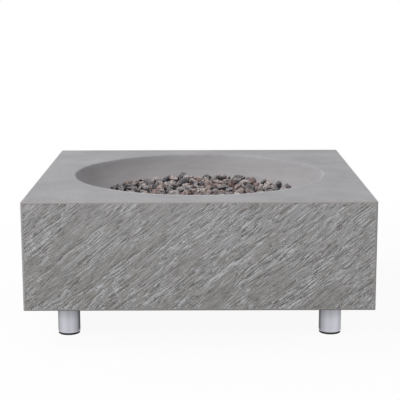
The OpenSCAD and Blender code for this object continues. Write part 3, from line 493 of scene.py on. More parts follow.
def lavaStone():
    look = lavaLook
    finish, tree, skin = newFinish("lavaStone", {"Specular IOR Level": 0.25})
    patches = cloud(tree, look["patchScale"], 4.0, 0.6)
    speckle = mixed(tree, patches, cloud(tree, look["speckleScale"], 2.0, 0.6), 0.45)
    tone = plus(tree, attribute(tree, "tone"), spread(tree, speckle, 0.3, 0.7, *look["speckle"]))
    colour = ramp(tree, tone, look["tones"])
    warmth = times(tree, attribute(tree, "warmth"), spread(tree, patches, 0.35, 0.6))
    colour = blendColour(tree, warmth, colour, look["rust"])
    # pores: bumped, with painted shade inside them
    cells = addNode(tree, "TexVoronoi", {"Vector": placeOn(tree), "Scale": look["poreScale"]})
    pore = spread(tree, cells.outputs["Distance"], 0.42, 0.16)
    colour = blendColour(tree, times(tree, pore, look["poreShare"]), colour, look["pore"])
    height = sums(tree, "SUBTRACT", cloud(tree, 420.0, 3.0, 0.6), pore)
    dress(tree, skin, colour, spread(tree, patches, 0.3, 0.7, 0.85, 1.0), height, look["poreDepth"], 0.9)
    return finish


# plain finishes that share one recipe: two tones, roughness range, grain size, bump depth

def plainFinish(name, dark, light, shine, scale, depth, metal=0.0, stretch=(1, 1, 1), wear=None):
    finish, tree, skin = newFinish(name, {"Metallic": metal})
    wide = cloud(tree, scale * 0.12, 3.0)
    fine = cloud(tree, scale, 4.0, 0.6, stretch)
    colour = ramp(tree, mixed(tree, wide, fine, 0.5), [(0.35, dark), (0.65, light)])
    if wear:
        patch = spread(tree, cloud(tree, scale * 0.3, 5.0, 0.7), 0.56, 0.7, 0.0, 0.7)
        colour = blendColour(tree, patch, colour, wear)
    dress(tree, skin, colour, spread(tree, fine, 0.3, 0.7, *shine), fine, depth, 0.6)
    return finish


upright = (1, 1, 0.06)   # brush marks that run up the tubes
finishOf = {
    "concrete": castConcrete(),
    "stainless": plainFinish("brushedStainless", (0.50, 0.505, 0.53), (0.62, 0.625, 0.65),
                             (0.30, 0.44), 260.0, 0.03 * mm, 1.0, upright),
    "steel": plainFinish("zincSteel", (0.42, 0.43, 0.45), (0.60, 0.60, 0.61),
                         (0.32, 0.5), 300.0, 0.03 * mm, 1.0),
    "iron": plainFinish("burnerSteel", (0.30, 0.28, 0.26), (0.46, 0.44, 0.42),
                        (0.4, 0.62), 220.0, 0.08 * mm, 1.0, wear=(0.20, 0.11, 0.07)),
    "brass": plainFinish("valveBrass", (0.58, 0.42, 0.18), (0.76, 0.58, 0.28),
                         (0.26, 0.42), 240.0, 0.03 * mm, 1.0),
    "aluminium": plainFinish("dieCastAluminium", (0.52, 0.53, 0.54), (0.66, 0.66, 0.67),
                             (0.42, 0.6), 320.0, 0.06 * mm, 1.0),
    "copper": plainFinish("gasCopper", (0.55, 0.27, 0.15), (0.75, 0.42, 0.27),
                          (0.3, 0.46), 200.0, 0.03 * mm, 1.0, wear=(0.26, 0.15, 0.10)),
    "rubber": plainFinish("footRubber", (0.018, 0.018, 0.019), (0.034, 0.034, 0.036),
                          (0.7, 0.9), 500.0, 0.12 * mm),
    "black_plastic": plainFinish("knobPlastic", (0.016, 0.016, 0.017), (0.028, 0.028, 0.030),
                                 (0.42, 0.58), 900.0, 0.08 * mm),
    "battery_case": plainFinish("batteryCase", (0.30, 0.22, 0.10), (0.42, 0.32, 0.15),
                                (0.3, 0.42), 200.0, 0.02 * mm),
    "lead_red": plainFinish("leadSleeve", (0.36, 0.030, 0.025), (0.48, 0.055, 0.045),
                            (0.45, 0.6), 400.0, 0.05 * mm),
    "ceramic": plainFinish("glazedCeramic", (0.70, 0.69, 0.66), (0.82, 0.81, 0.78),
                           (0.18, 0.3), 150.0, 0.02 * mm),
    "lava": lavaStone(),
}
slateFinish = splitSlate()
satinTube = plainFinish("satinTube", (0.575, 0.575, 0.632), (0.615, 0.615, 0.674),
                        (0.22, 0.26), 260.0, 0.005 * mm, 1.0, upright)
for name, part in nodes.items():
    finish = satinTube if name.startswith(("leg_tube", "leg_end")) else finishOf[slotOf[name]]
    part.data.materials.clear()
    part.data.materials.append(finish)
print("finishes:", len(finishOf) + 2)


# seeded gradient noise on numpy grids, for relief and stones

def gradientNoise(seed):
    rng = np.random.default_rng(seed)
    order = np.tile(rng.permutation(256), 2)
    turn = rng.uniform(0, 2 * np.pi, 256)
    slopeX, slopeY = np.cos(turn), np.sin(turn)

    def noise(x, y):
        col, row = np.floor(x).astype(int), np.floor(y).astype(int)
        x, y = x - col, y - row
        easeX = x ** 3 * (x * (x * 6 - 15) + 10)
        easeY = y ** 3 * (y * (y * 6 - 15) + 10)

        def corner(right, up):
            pick = order[order[(col + right) & 255] + ((row + up) & 255)]
            return slopeX[pick] * (x - right) + slopeY[pick] * (y - up)

        low = corner(0, 0) * (1 - easeX) + corner(1, 0) * easeX
        high = corner(0, 1) * (1 - easeX) + corner(1, 1) * easeX
        return 1.5 * (low * (1 - easeY) + high * easeY)

    return noise


def smooth(start, end, x):
    t = np.clip((x - start) / (end - start), 0, 1)
    return t * t * (3 - 2 * t)


def bell(x, wide):
    return np.exp(-(x / wide) ** 2)


def leaning(noise, along, across, long, wide, lean):
    # crests that lean over, so that one flank is steeper than the other
    value = noise(along / long, across / wide)
    for _ in range(2):
        value = noise(along / long, (across + lean * wide * value) / wide)
    return value


# split-slate sides: four relief panels set in the recesses of the casting, sizes in mm

slate = {
    "frameSide": 7.0, "frameEdge": 5.0, "recess": 4.0, "joint": 0.05, "pocketGap": 8.0,
    "angle": 38.0, "bend": 0.00003,
    "flush": 0.12, "deepest": 3.6, "meanDip": 1.7, "height": 0.85, "lip": 1.5, "fade": 16.0,
    # turn, seed and size of a face
    "sides": {"front": (0, 3, 1.82), "right": (90, 11, 2.6), "back": (180, 7, 2.6), "left": (270, 5, 2.6)},
    # crests: length, width, lean
    "broad": (170, 34, 0.4), "middle": (75, 11, 0.45), "streak": (80, 4.8, 0.45), "short": (30, 3.6, 0.4),
    "crest": (60, 9, 0.3),
    # ledges: spacing and length
    "steps": (40.0, 150), "thinSteps": (15.0, 70),
    # how much each form gives to the fine grain, the height and the tone; in the tone the steps and edges
    # are painted shade and light
    "fineOf": {"streak": 1.1, "short": 0.6, "hair": 0.4, "crest": 0.4, "grain": 0.18},
    "heightOf": {"broad": 0.45, "steps": 0.9, "thin": 0.7, "lift": 0.6, "edges": 1.3},
    "toneOf": {"base": 0.518, "fine": 0.13, "middle": 0.02, "steps": 0.22, "edges": 0.72, "left": 0.03},
}
frontFlakes = {
    "plates": [  # smoother flakes: across, up, half length, half width, lift, paleness
        (-372, 222, 62, 17, 0.15, -0.25), (-268, 182, 42, 12, 0.1, -0.35), (-390, 92, 34, 13, 0.1, -0.1),
        (-102, 218, 66, 26, 0.1, -0.2), (-25, 145, 32, 13, 0.1, -0.1), (84, 108, 34, 13, 0.1, -0.2),
        (78, 197, 48, 8, 0.5, 0.7), (105, 295, 34, 11, 0.45, 0.5), (272, 275, 30, 10, 0.5, 0.7),
        (368, 290, 34, 10, 0.45, 0.5), (-330, 158, 70, 7, 0.35, 0.3), (-250, 215, 60, 6, 0.35, 0.4),
        (300, 170, 46, 15, 0.15, -0.1), (395, 135, 22, 14, 0.4, 0.3),
    ],
    "ridges": [  # edges of layers that stand out: from across, up to across, up, strength
        (-495, 66, -272, 252, 1.0), (-490, 32, -322, 182, 0.6), (-462, 8, -385, 72, 0.7),
        (-392, 4, -174, 168, 0.9), (-322, 68, -207, 194, 0.7), (-112, 122, 14, 203, 0.9),
        (-220, 274, -168, 298, 0.7), (-268, 214, -212, 246, 0.6), (12, 161, 113, 221, 0.7),
        (2, 71, 150, 172, 0.6), (156, 186, 206, 219, 1.0), (72, 122, 114, 160, 0.8),
        (244, 246, 304, 289, 0.8), (303, 235, 448, 308, 0.6), (236, 74, 321, 141, 0.6),
        (-60, 232, 30, 300, 0.6), (-366, 37, -314, 69, 0.9), (-305, 35, -220, 101, 0.9),
        (-281, 92, -201, 163, 0.8), (-255, 110, -168, 172, 0.9), (-464, 65, -437, 95, 0.6),
        (-407, 58, -329, 124, 0.6), (-459, 225, -392, 268, 0.5), (-455, 161, -422, 193, 0.6),
        (2, 202, 67, 232, 0.7), (102, 79, 167, 147, 0.8), (198, 218, 258, 271, 0.9),
        (317, 257, 343, 278, 0.8), (111, 280, 167, 307, 0.7), (169, 67, 187, 88, 0.7),
        (2, 62, 48, 101, 0.6), (321, 163, 343, 193, 0.6),
    ],
    "zones": [  # calmer and rougher stretches: across, up, half length, half width, change
        (-345, 225, 90, 34, -0.6), (-235, 170, 75, 26, -0.5), (-100, 225, 90, 40, -0.6),
        (-55, 115, 70, 30, -0.3), (355, 25, 120, 25, -0.4), (60, 35, 80, 25, -0.3),
        (-270, 60, 140, 40, 0.5), (190, 255, 140, 38, 0.4), (410, 135, 70, 40, 0.5),
        (-60, 170, 80, 24, 0.5), (-430, 235, 60, 40, 0.2), (-430, 60, 60, 30, -0.3),
        (40, 160, 190, 130, 0.2), (-420, 150, 120, 110, -0.15), (330, 190, 150, 120, 0.12),
    ],
    "chips": [  # knocked-out spots: across, up, radius, depth
        (350, 120, 17, 1.2), (392, 148, 13, 0.9), (425, 158, 15, 1.0), (378, 98, 11, 0.8),
        (-270, 277, 10, 1.0), (-128, 40, 16, 0.9), (-105, 20, 12, 0.8), (-48, 48, 18, 0.8),
        (408, 118, 12, 0.8), (440, 95, 14, 0.8), (300, 62, 12, 0.6), (-150, 22, 14, 0.8),
    ],
}
flakeCounts = {"plates": 15, "ridges": 28, "zones": 14, "chips": 12}   # on each of the other sides


def randomFlakes(seed, wide, tall):
    rng = np.random.default_rng(seed)
    plates = [(rng.uniform(-wide, wide), rng.uniform(0, tall), rng.uniform(28, 70), rng.uniform(7, 22),
               rng.uniform(0.1, 0.5), rng.uniform(-0.3, 0.6)) for _ in range(flakeCounts["plates"])]
    chips = [(rng.uniform(-wide, wide), rng.uniform(10, tall - 10), rng.uniform(9, 18),
              rng.uniform(0.6, 1.2)) for _ in range(flakeCounts["chips"])]
    ridges = []
    for _ in range(flakeCounts["ridges"]):
        right, up = rng.uniform(-wide, wide - 90), rng.uniform(0, tall - 40)
        length = 40 + 200 * rng.beta(1, 2)
        turn = math.radians(slate["angle"] + rng.uniform(-4, 4))
        right2, up2 = right + length * math.cos(turn), up + length * math.sin(turn)
        ridges.append((right, up, right2, up2, rng.uniform(0.6, 1.0)))
    zones = [(rng.uniform(-wide, wide), rng.uniform(0, tall), rng.uniform(60, 140), rng.uniform(24, 40),
              rng.choice((-0.55, -0.4, 0.3, 0.5))) for _ in range(flakeCounts["zones"])]
    return {"plates": plates, "ridges": ridges, "zones": zones, "chips": chips}


def slateFlow(u, v, right=0.0, up=0.0):
    # how far along and across the layers from a spot
    lean = math.radians(slate["angle"])
    far = (u - right) * math.cos(lean) + (v - up) * math.sin(lean)
    side = -(u - right) * math.sin(lean) + (v - up) * math.cos(lean)
    return far, side


def smoothPlates(u, v, plates, noise):
    flat, pale, lift = np.zeros_like(u), np.zeros_like(u), np.zeros_like(u)
    for right, up, length, width, raised, lightness in plates:
        far, side = slateFlow(u, v, right, up)
        ragged = 0.3 * noise(far / 34 + right, side / 8 + up)
        inside = smooth(1.15, 0.7, np.hypot(far / length, side / width) + ragged)
        flat = np.maximum(flat, inside)
        pale += inside * lightness
        lift += inside * raised * (1 - 0.5 * side / width)
    return flat, pale, lift


def raisedEdges(u, v, ridges, sway, gaps):
    # lifted lips; the shade it returns is painted shade in the undercut above them and painted light on the
    # face below
    line, shade = np.zeros_like(u), np.zeros_like(u)
    for right, up, right2, up2, strength in ridges:
        length = math.hypot(right2 - right, up2 - up)
        far = ((u - right) * (right2 - right) + (v - up) * (up2 - up)) / length
        side = (-(u - right) * (up2 - up) + (v - up) * (right2 - right)) / length
        side = side + 5 * sway(far / 60 + right, up) + 2 * sway(far / 17, up2 + side / 30)
        shown = smooth(-12, 14, far) * smooth(length + 12, length - 14, far) * strength
        shown = shown * (0.45 + 0.55 * smooth(-0.4, 0.2, gaps(far / 30, right2)))
        line += shown * np.where(side > 0, bell(side, 1.4), np.exp(side / 13))
        shade += shown * (0.5 * bell(side + 3.4, 2.8) - 0.75 * bell(side - 1.8, 1.7))
    return line, shade


def ledges(along, across, spacing, length, wander, keep):
    # layers that rise from under the one above and break off in a step over the next; the shade it returns
    # is painted shade just under each step and painted light below it
    climb = 0.8 * wander(along / 240, across / (1.5 * spacing)) + across / spacing
    layer = np.floor(climb)
    below = 1 - (climb - layer)
    face = np.where(below > 0.93, (1 - below) / 0.07, 1.025 * (1 - np.exp(-4 * below)))
    shown = smooth(-0.15, 0.25, keep(along / length, layer * 5.7))
    shade = 0.3 * np.exp(-below * spacing / 8) - 0.8 * bell(below * spacing, 1.8)
    return face * shown, shade * shown


def slateFace(u, v, seed, flakes):
    noise = [gradientNoise(seed * 40 + i) for i in range(21)]
    along, across = slateFlow(u, v)
    across = across - slate["bend"] * u * np.abs(u)
    across = across + 6 * noise[0](along / 320, across / 160) + 1.6 * noise[1](along / 80, across / 36)
    across = across + 0.7 * noise[2](along / 22, across / 12)
    patch = noise[3](along / 150, across / 60) + 0.4 * noise[4](along / 45, across / 20)
    rough = 0.2 + 0.9 * smooth(-0.4, 0.4, patch)
    for right, up, length, width, change in flakes["zones"]:
        far, side = slateFlow(u, v, right, up)
        rough = rough + change * np.exp(-(far / length) ** 2 - (side / width) ** 2)
    rough = np.clip(rough, 0.1, 1.4)
    flat, pale, lift = smoothPlates(u, v, flakes["plates"], noise[5])
    rough = rough * (1 - 0.55 * flat)

    broad = leaning(noise[6], along, across, *slate["broad"])
    middle = leaning(noise[7], along, across, *slate["middle"])
    streak = leaning(noise[8], along, across, *slate["streak"])
    short = leaning(noise[9], along + 40, across, *slate["short"])
    crest = 0.4 - np.abs(leaning(noise[17], along, across, *slate["crest"])) * 2
    hair = noise[10](along / 18, across / 2.8)
    grain = 0.6 * noise[11](along / 8, across / 3.6) + 0.5 * noise[12](u / 3, v / 3)
    edgeLine, edgeShade = raisedEdges(u, v, flakes["ridges"], noise[18], noise[4])
    steps, stepShade = ledges(along, across, *slate["steps"], noise[13], noise[14])
    thin, thinShade = ledges(along, across, *slate["thinSteps"], noise[15], noise[16])
    thin = thin * (1 - 0.6 * flat)

    of = slate["fineOf"]
    fine = of["streak"] * streak + of["short"] * short + of["hair"] * hair + of["crest"] * crest
    fine = rough * fine + of["grain"] * grain
    of = slate["heightOf"]
    height = of["broad"] * broad + (0.3 + 0.5 * rough) * middle + fine
    height = height + of["steps"] * steps + of["thin"] * thin + of["lift"] * lift + of["edges"] * edgeLine
    for right, up, radius, deep in flakes["chips"]:
        ragged = np.hypot(u - right, v - up) / radius + 0.45 * noise[18]((u + up) / 12, (v + right) / 12)
        dent = deep * smooth(1.05, 0.75, ragged) * (0.7 + 0.5 * (v - up) / radius)
        height -= dent
        fine -= 0.5 * dent
    fine = np.where(fine < 0, fine / (1 - 0.4 * fine), fine)
    of = slate["toneOf"]
    # tone: the grain, with painted shade and light from the steps, the thin steps and the raised edges
    ridge = of["base"] + of["fine"] * fine + of["middle"] * middle + of["steps"] * stepShade
    ridge = ridge - of["left"] * smooth(-150, -400, u)
    ridge = ridge + (0.08 + 0.32 * rough) * thinShade + of["edges"] * edgeShade + 0.0005 * (v - 155)
    tint = 0.5 + 0.6 * noise[19](along / 130, across / 50) + 0.4 * noise[20](along / 50, across / 18)
    return {"height": height, "toneAndShade": ridge, "rough": rough, "tint": tint, "pale": pale,
            "along": along * mm, "across": across * mm}


def gridLines(stops, cell):
    lines = [np.linspace(a, b, max(2, round((b - a) / cell) + 1))[:-1] for a, b in zip(stops, stops[1:])]
    return np.concatenate([*lines, stops[-1:]])


def slatePanel(side, turn, seed, cell):
    half = bodyHigh.x / mm
    tall = (bodyHigh.z - bodyLow.z) / mm - 2 * slate["frameEdge"] - 2 * slate["joint"]
    wide = half - slate["frameSide"] - slate["joint"]
    bottom = bodyLow.z / mm + slate["frameEdge"] + slate["joint"]
    acrossStops, upStops = [-wide, wide], [0, tall]
    hole = None
    if side == "back":   # the panel leaves the control pocket open
        gap = slate["pocketGap"]
        plateLow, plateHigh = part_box("control_plate")
        hole = (plateLow.x / mm - gap, plateHigh.x / mm + gap,
                plateLow.z / mm - gap - bottom, plateHigh.z / mm + gap - bottom)
        acrossStops = [-wide, -hole[1], -hole[0], wide]
        upStops = [0, hole[2], hole[3], tall]
    us, vs = gridLines(acrossStops, cell), gridLines(upStops, cell)
    u, v = np.meshgrid(us, vs)
    face = slateFace(u, v, seed, frontFlakes if side == "front" else randomFlakes(seed, wide, tall))
    depth = slate["meanDip"] - slate["height"] * face.pop("height")
    depth = np.clip(depth, slate["flush"], slate["deepest"])
    border = np.minimum(np.minimum(u + wide, wide - u), np.minimum(v, tall - v))
    if hole:
        outside = np.maximum(np.maximum(-hole[1] - u, u + hole[0]), np.maximum(hole[2] - v, v - hole[3]))
        border = np.minimum(border, np.maximum(outside, 0))
    kept = 0.3 * smooth(0, slate["lip"], border) + 0.7 * smooth(0, slate["fade"], border)
    depth = slate["flush"] + (depth - slate["flush"]) * kept
    face["pale"] = np.clip(face["pale"] * kept, 0, 0.8)
    points = np.stack([u, depth - half, v + bottom], -1).reshape(-1, 3) * mm

    count = len(us)
    col, row = np.meshgrid(np.arange(count - 1), np.arange(len(vs) - 1))
    if hole:
        midU, midV = (us[:-1] + us[1:])[col] / 2, (vs[:-1] + vs[1:])[row] / 2
        solid = ~((midU > -hole[1]) & (midU < -hole[0]) & (midV > hole[2]) & (midV < hole[3]))
        col, row = col[solid], row[solid]
    first = (row * count + col).ravel()
    quads = np.stack([first, first + 1, first + 1 + count, first + count], -1)
    mesh = newMesh("slatePanel_" + side, points.tolist(), quads.tolist(), face)

    # walls round the relief and a flat back
    slab = bmesh.new()
    slab.from_mesh(mesh)
    loose = [corner for corner in slab.verts if not corner.link_faces]
    bmesh.ops.delete(slab, geom=loose, context="VERTS")
    rim = [edge for edge in slab.edges if edge.is_boundary]
    walls = bmesh.ops.extrude_edge_only(slab, edges=rim)["geom"]
    for corner in walls:
        if isinstance(corner, bmesh.types.BMVert):
            corner.co.y = (slate["recess"] - half) * mm
    backRim = [edge for edge in walls if isinstance(edge, bmesh.types.BMEdge) and edge.is_boundary]
    bmesh.ops.triangle_fill(slab, edges=backRim, use_beauty=True)
    bmesh.ops.recalc_face_normals(slab, faces=slab.faces)
    slab.transform(Matrix.Rotation(math.radians(turn), 4, "Z"))
    slab.to_mesh(mesh)
    slab.free()
    softShade(mesh, 60)
    newPiece("slatePanel_" + side, mesh, slateFinish, "table")
    print("slate", side, len(mesh.polygons), "faces, depth", round(depth.min(), 2), round(depth.max(), 2))


for side, (turn, seed, cell) in slate["sides"].items():
    slatePanel(side, turn, seed, cell)


# lava stones, dropped one by one into the bowl where they come to rest lowest, sizes in mm

bowl = {"floorRadius": 230.0, "floor": 320.0, "arc": 197.92}
pile = {
    "seed": 12, "turn": 110.0, "smallest": 14.0, "largest": 35.0, "sizes": (1.6, 2.3),
    "spots": 10, "misses": 300,
    "touch": 0.78, "sink": 0.3, "crown": 0.82, "wallGap": 0.7, "rimGap": 0.6,   # shares of a stone's radius
    "bedTop": 332.0, "middleTop": 372.0, "edgeTop": 366.0, "edgeFrom": 250.0,
}
stone = {
    "cuts": 11, "offsets": (0.6, 1.0), "sharpness": 22, "longest": 1.3,
    "dents": (6, (0.03, 0.14), (0.08, 0.24)), "pores": (26, (0.004, 0.014), (0.05, 0.13)),
    "waves": ((6, 0.035), (12, 0.032), (23, 0.022)),
    "breadth": (0.72, 1.0), "thickness": (0.58, 0.85),
    "rustShare": 0.34, "rustWarmth": (0.45, 1.0), "greyWarmth": (0, 0.15), "warmFrom": 0.3,
    "rustTone": 0.73, "greyTone": 0.575, "toneVaries": 0.17, "toneLimits": (0.15, 0.9), "charcoalTo": 0.56,
    "paleShare": 0.02, "paleTo": 20, "paleTone": 0.95,
    # tone changes: darker at the left end, painted light on tops and up-facing facets, painted shade near
    # other stones
    "dullEnd": (-190, -250), "dull": 0.22, "topLight": 0.12, "facetShade": 0.22,
    "contactShade": 1.05, "contactShadeReach": (1.28, 0.92),
}


def bowlReach(z):
    rise = np.clip(bowl["floor"] + bowl["arc"] - z, 0, bowl["arc"])
    return bowl["floorRadius"] + np.sqrt(bowl["arc"] ** 2 - rise ** 2)


def dropStones():
    rng = np.random.default_rng(pile["seed"])
    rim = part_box("lava_rocks")[1].x / mm
    placed = np.zeros((0, 4))
    misses = 0
    while misses < pile["misses"]:
        radius = pile["smallest"] + (pile["largest"] - pile["smallest"]) * rng.beta(*pile["sizes"])
        turn = rng.uniform(0, 2 * np.pi, pile["spots"]) + math.radians(pile["turn"])
        out = (rim - pile["rimGap"] * radius) * np.sqrt(rng.uniform(0, 1, pile["spots"]))
        x, y = out * np.cos(turn), out * np.sin(turn)
        z = np.full(pile["spots"], pile["bedTop"] + pile["sink"] * radius)
        if len(placed):
            gap = (x[:, None] - placed[:, 0]) ** 2 + (y[:, None] - placed[:, 1]) ** 2
            reach = (pile["touch"] * (radius + placed[:, 3])) ** 2
            rest = placed[:, 2] + np.sqrt(np.maximum(reach - gap, 0))
            z = np.maximum(z, np.where(gap < reach, rest, 0).max(axis=1))
        lower = smooth(pile["edgeFrom"], rim, out)
        roof = pile["middleTop"] - (pile["middleTop"] - pile["edgeTop"]) * lower
        fits = z + pile["crown"] * radius < roof
        fits &= out + pile["wallGap"] * radius < bowlReach(z)
        if not fits.any():
            misses += 1
            continue
        misses = 0
        best = np.argmin(np.where(fits, z, np.inf))
        placed = np.vstack([placed, (x[best], y[best], z[best], radius)])
    return placed


def stoneBall(level):
    ball = bmesh.new()
    bmesh.ops.create_icosphere(ball, subdivisions=level, radius=1.0)
    points = np.array([corner.co[:] for corner in ball.verts])
    faces = np.array([[corner.index for corner in face.verts] for face in ball.faces])
    ball.free()
    return points / np.linalg.norm(points, axis=1)[:, None], faces


def randomTurn(rng):
    axes, _ = np.linalg.qr(rng.normal(size=(3, 3)))
    return axes


def brokenStone(directions, rng):
    # a rough polyhedron cut by random planes, then dented and roughened
    count, power = stone["cuts"], stone["sharpness"]
    cuts = rng.normal(size=(count, 3))
    cuts /= np.linalg.norm(cuts, axis=1)[:, None]
    offsets = rng.uniform(*stone["offsets"], count)
    facing = np.maximum(directions @ cuts.T, 0) / offsets
    shape = np.maximum((facing ** power).sum(axis=1), 1e-30) ** (-1 / power)
    shape = np.minimum(shape, stone["longest"])
    hollows = []
    for number, wide, deep in (stone["dents"], stone["pores"]):
        hollows += [(rng.uniform(*wide), rng.uniform(*deep)) for _ in range(number)]
    for wide, deep in hollows:
        centre = rng.normal(size=3)
        centre /= np.linalg.norm(centre)
        shape *= 1 - deep * np.exp(-(1 - directions @ centre) / wide)
    for frequency, size in stone["waves"]:
        for _ in range(3):
            wave = rng.normal(size=3) * frequency
            shape += size * np.sin(directions @ wave + rng.uniform(0, 6.3))
    squeeze = np.array([1.0, rng.uniform(*stone["breadth"]), rng.uniform(*stone["thickness"])])
    turn = randomTurn(rng).T
    # painted light and shade per facet: lighter as the facet faces up, with a little random tone
    upward = ((cuts / squeeze) @ turn)[:, 2] / np.linalg.norm(cuts / squeeze, axis=1)
    shade = (upward + rng.uniform(-0.2, 0.2, count))[np.argmax(facing, axis=1)]
    return (directions * shape[:, None] * squeeze) @ turn, shade


def stoneColour(radius, rng):
    rusty = rng.uniform() < stone["rustShare"]
    warmth = rng.uniform(*stone["rustWarmth" if rusty else "greyWarmth"])
    tone = rng.normal(stone["rustTone" if rusty else "greyTone"], stone["toneVaries"])
    tone = np.clip(tone, *stone["toneLimits"])
    if rng.uniform() < stone["paleShare"] and radius < stone["paleTo"]:
        tone = stone["paleTone"]
    return tone, warmth


def buildStones():
    rng = np.random.default_rng(pile["seed"] + 1)
    placed = dropStones()
    balls = {level: stoneBall(level) for level in (3, 4)}
    groups = {"charcoalStones": [], "greyStones": [], "rustStones": []}
    for index, (x, y, z, radius) in enumerate(placed):
        above = np.hypot(placed[:, 0] - x, placed[:, 1] - y) < 0.7 * (radius + placed[:, 3])
        buried = (above & (placed[:, 2] > z + 0.5 * radius)).sum() >= 3
        directions, faces = balls[3 if buried else 4]
        body, shade = brokenStone(directions, rng)
        body = body * radius
        tone, warmth = stoneColour(radius, rng)
        group = "charcoalStones" if tone < stone["charcoalTo"] else "greyStones"
        if warmth > stone["warmFrom"]:
            group = "rustStones"
        # darker at the left end of the heap; painted light on the tops and painted shade lower down, facets
        # painted lighter as they face up, painted shade where another stone is near
        tone = tone - stone["dull"] * smooth(*stone["dullEnd"], x)
        tone = tone + stone["topLight"] * (np.clip(body[:, 2] / radius, -0.6, 0.85) - 0.3)
        tone = tone + stone["facetShade"] * (shade - 0.10)
        body = body + (x, y, z)
        near = np.linalg.norm(placed[:, :3] - (x, y, z), axis=1) < 1.6 * (radius + placed[:, 3])
        near &= np.arange(len(placed)) != index
        reach = np.linalg.norm(body[:, None, :] - placed[near][None, :, :3], axis=2) / placed[near][:, 3]
        tone = tone - stone["contactShade"] * smooth(*stone["contactShadeReach"], reach.min(axis=1, initial=2.0))
        groups[group].append((body * mm, faces, tone, np.full(len(body), warmth)))
    stones = []
    for group, members in groups.items():
        bodies, parts, tones, warmths = zip(*members)
        start = np.cumsum([0] + [len(body) for body in bodies])
        points = np.concatenate(bodies)
        faces = np.concatenate([part + first for part, first in zip(parts, start)])
        values = {"tone": np.concatenate(tones), "warmth": np.concatenate(warmths)}
        mesh = newMesh(group, points.tolist(), faces.tolist(), values)
        softShade(mesh, 32)
        stones.append(newPiece(group, mesh, finishOf["lava"], "table"))
        top = round(points[:, 2].max(), 4)
        print(group, len(members), "stones,", len(mesh.polygons), "faces, top", top)
    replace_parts(stones[0], "lava_rocks")


bedding = {
    "rings": 60, "spokes": 220, "lump": 3.0, "sink": 1.0, "inset": 1.0, "seed": 31,
    # nearly black: painted shade in the gaps between the stones
    "tone": 0.02, "warmth": 0.1,
}


def buildBedding():
    # the bed of rubble under the stones, painted nearly black as the shade in the gaps between them, closed
    # underneath
    noise = [gradientNoise(bedding["seed"] + i) for i in range(2)]
    turn = np.linspace(0, 2 * np.pi, bedding["spokes"], endpoint=False)
    edge = float(bowlReach(pile["bedTop"])) - bedding["inset"]
    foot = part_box("lava_bed")[0].z / mm
    points = [(0, 0, pile["bedTop"])]
    for ring in range(1, bedding["rings"] + 1):
        out = edge * ring / bedding["rings"]
        x, y = out * np.cos(turn), out * np.sin(turn)
        lump = bedding["lump"] * (noise[0](x / 14, y / 14) + 0.6 * noise[1](x / 6, y / 6))
        z = pile["bedTop"] + lump * smooth(edge, edge - 12, out) - bedding["sink"]
        points += np.stack([x, y, z], -1).tolist()
    points += [(bowl["floorRadius"] * math.cos(a), bowl["floorRadius"] * math.sin(a), foot) for a in turn]
    points.append((0, 0, foot))
    count, rings = bedding["spokes"], bedding["rings"] + 1
    faces = [(0, 1 + i, 1 + (i + 1) % count) for i in range(count)]
    for ring in range(rings - 1):
        low, high = 1 + ring * count, 1 + (ring + 1) * count
        faces += [(low + i, high + i, high + (i + 1) % count, low + (i + 1) % count) for i in range(count)]
    last = 1 + (rings - 1) * count
    faces += [(len(points) - 1, last + (i + 1) % count, last + i) for i in range(count)]
    values = {name: np.full(len(points), bedding[name]) for name in ("tone", "warmth")}
    mesh = newMesh("stoneBedShade", [Vector(point) * mm for point in points], faces, values)
    softShade(mesh, 50)
    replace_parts(newPiece("stoneBedShade", mesh, finishOf["lava"], "table"), "lava_bed")


buildStones()
buildBedding()
print("stones in the bowl")


# white line in the pointer groove of the knob, sizes in mm

pointer = {"wide": 1.7, "inner": 6.2, "edge": 5.5, "thick": 0.35, "floor": 3.0, "corner": 0.7,
           "dark": (0.74, 0.74, 0.72), "light": (0.84, 0.84, 0.82)}


def knobPointer():
    low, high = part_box("control_knob")
    axisX, axisZ = (low.x + high.x) / 2, (low.z + high.z) / 2
    face = high.y - pointer["floor"] * mm
    half, inner = pointer["wide"] / 2, pointer["inner"]
    outer = (high.z - axisZ) / mm - pointer["edge"]
    strip = bmesh.new()
    outline = [(-half, inner), (half, inner), (half, outer), (-half, outer)]
    base = strip.faces.new([strip.verts.new((axisX + x * mm, face, axisZ + z * mm)) for x, z in outline])
    top = bmesh.ops.extrude_face_region(strip, geom=[base])["geom"]
    for corner in top:
        if isinstance(corner, bmesh.types.BMVert):
            corner.co.y += pointer["thick"] * mm
    rising = [edge for edge in strip.edges if abs(edge.verts[0].co.y - edge.verts[1].co.y) > 0.1 * mm]
    bmesh.ops.bevel(strip, geom=rising, offset=pointer["corner"] * mm, segments=4, affect="EDGES")
    bmesh.ops.recalc_face_normals(strip, faces=strip.faces)
    mesh = bpy.data.meshes.new("knobPointerLine")
    strip.to_mesh(mesh)
    strip.free()
    paint = plainFinish("pointerPaint", pointer["dark"], pointer["light"], (0.4, 0.55), 600.0, 0.03 * mm)
    newPiece("knobPointerLine", mesh, paint, "knob")


knobPointer()
print("pointer line on the knob")


# return springs of the knob and the button, sizes in mm

spring = {
    "wire": 1.0, "closedTurn": 1.08, "sides": 8, "steps": 24,
    # node that it replaces, joint that presses it, number of turns
    "coils": {"stemSpringCoil": ("stem_spring", "knob_push", 6),
              "buttonSpringCoil": ("button_spring", "igniter_press", 5)},
}


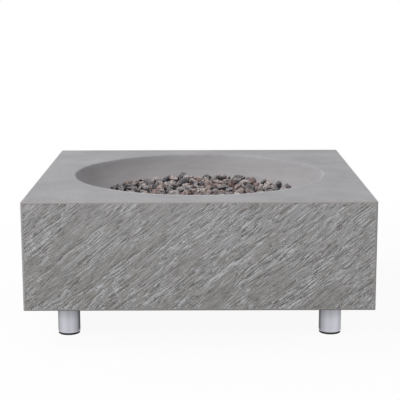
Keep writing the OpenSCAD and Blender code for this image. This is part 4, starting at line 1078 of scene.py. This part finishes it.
def returnSpring(name, node, turns):
    low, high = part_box(node)
    middle = (low + high) / 2
    half = spring["wire"] * mm / 2
    reach = (high.x - low.x) / 2 - half
    rise = high.y - low.y - 2 * half
    closed = 2 * half * spring["closedTurn"] / rise
    count, steps = spring["sides"], spring["steps"]
    points = []
    for step in range(steps * turns + 1):
        angle = 2 * math.pi * step / steps
        climb = rise * np.interp(step / steps, (0, 1, turns - 1, turns), (0, closed, 1 - closed, 1))
        for side in range(count):
            bend = 2 * math.pi * side / count
            out = reach + half * math.cos(bend)
            points.append((middle.x + out * math.cos(angle), low.y + half + climb + half * math.sin(bend),
                           middle.z + out * math.sin(angle)))
    mesh = newMesh(name, points, closedTube(steps * turns, count))
    softShade(mesh, 50)
    piece = newPiece(name, mesh, finishOf[slotOf[node]], "table")
    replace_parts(piece, node)
    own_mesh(piece)


for name, (node, joint, turns) in spring["coils"].items():
    returnSpring(name, node, turns)


# levelling feet: rolled thread on each stem, seen when a foot is wound out, sizes in mm

thread = {"pitch": 1.75, "depth": 0.85, "rows": 8, "sides": 32, "lead": 1.2}


def footThread(corner):
    node = "foot_stem_" + corner
    low, high = (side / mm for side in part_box(node))
    middle, crest = (low + high) / 2, (high.x - low.x) / 2
    turn = np.linspace(0, 2 * np.pi, thread["sides"], endpoint=False)
    heights = np.linspace(low.z, high.z, round((high.z - low.z) / thread["pitch"] * thread["rows"]))
    points = []
    for z in heights:
        wave = np.abs((z / thread["pitch"] - turn / (2 * np.pi)) % 1 - 0.5) * 2
        radius = crest - thread["depth"] * np.clip(1.25 * wave - 0.12, 0, 1)
        # the last turn runs out in a lead-in
        radius = np.minimum(radius, crest - thread["depth"] * (1 - min(1, (high.z - z) / thread["lead"])))
        points += [(middle.x + reach * math.cos(angle), middle.y + reach * math.sin(angle), z)
                   for reach, angle in zip(radius, turn)]
    faces = closedTube(len(heights) - 1, thread["sides"])
    mesh = newMesh("footThread_" + corner, [Vector(point) * mm for point in points], faces)
    softShade(mesh, 40)
    piece = newPiece("footThread_" + corner, mesh, finishOf["steel"], "foot_" + corner)
    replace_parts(piece, node)


for corner in legCorners:
    footThread(corner)
print("threads on the feet")
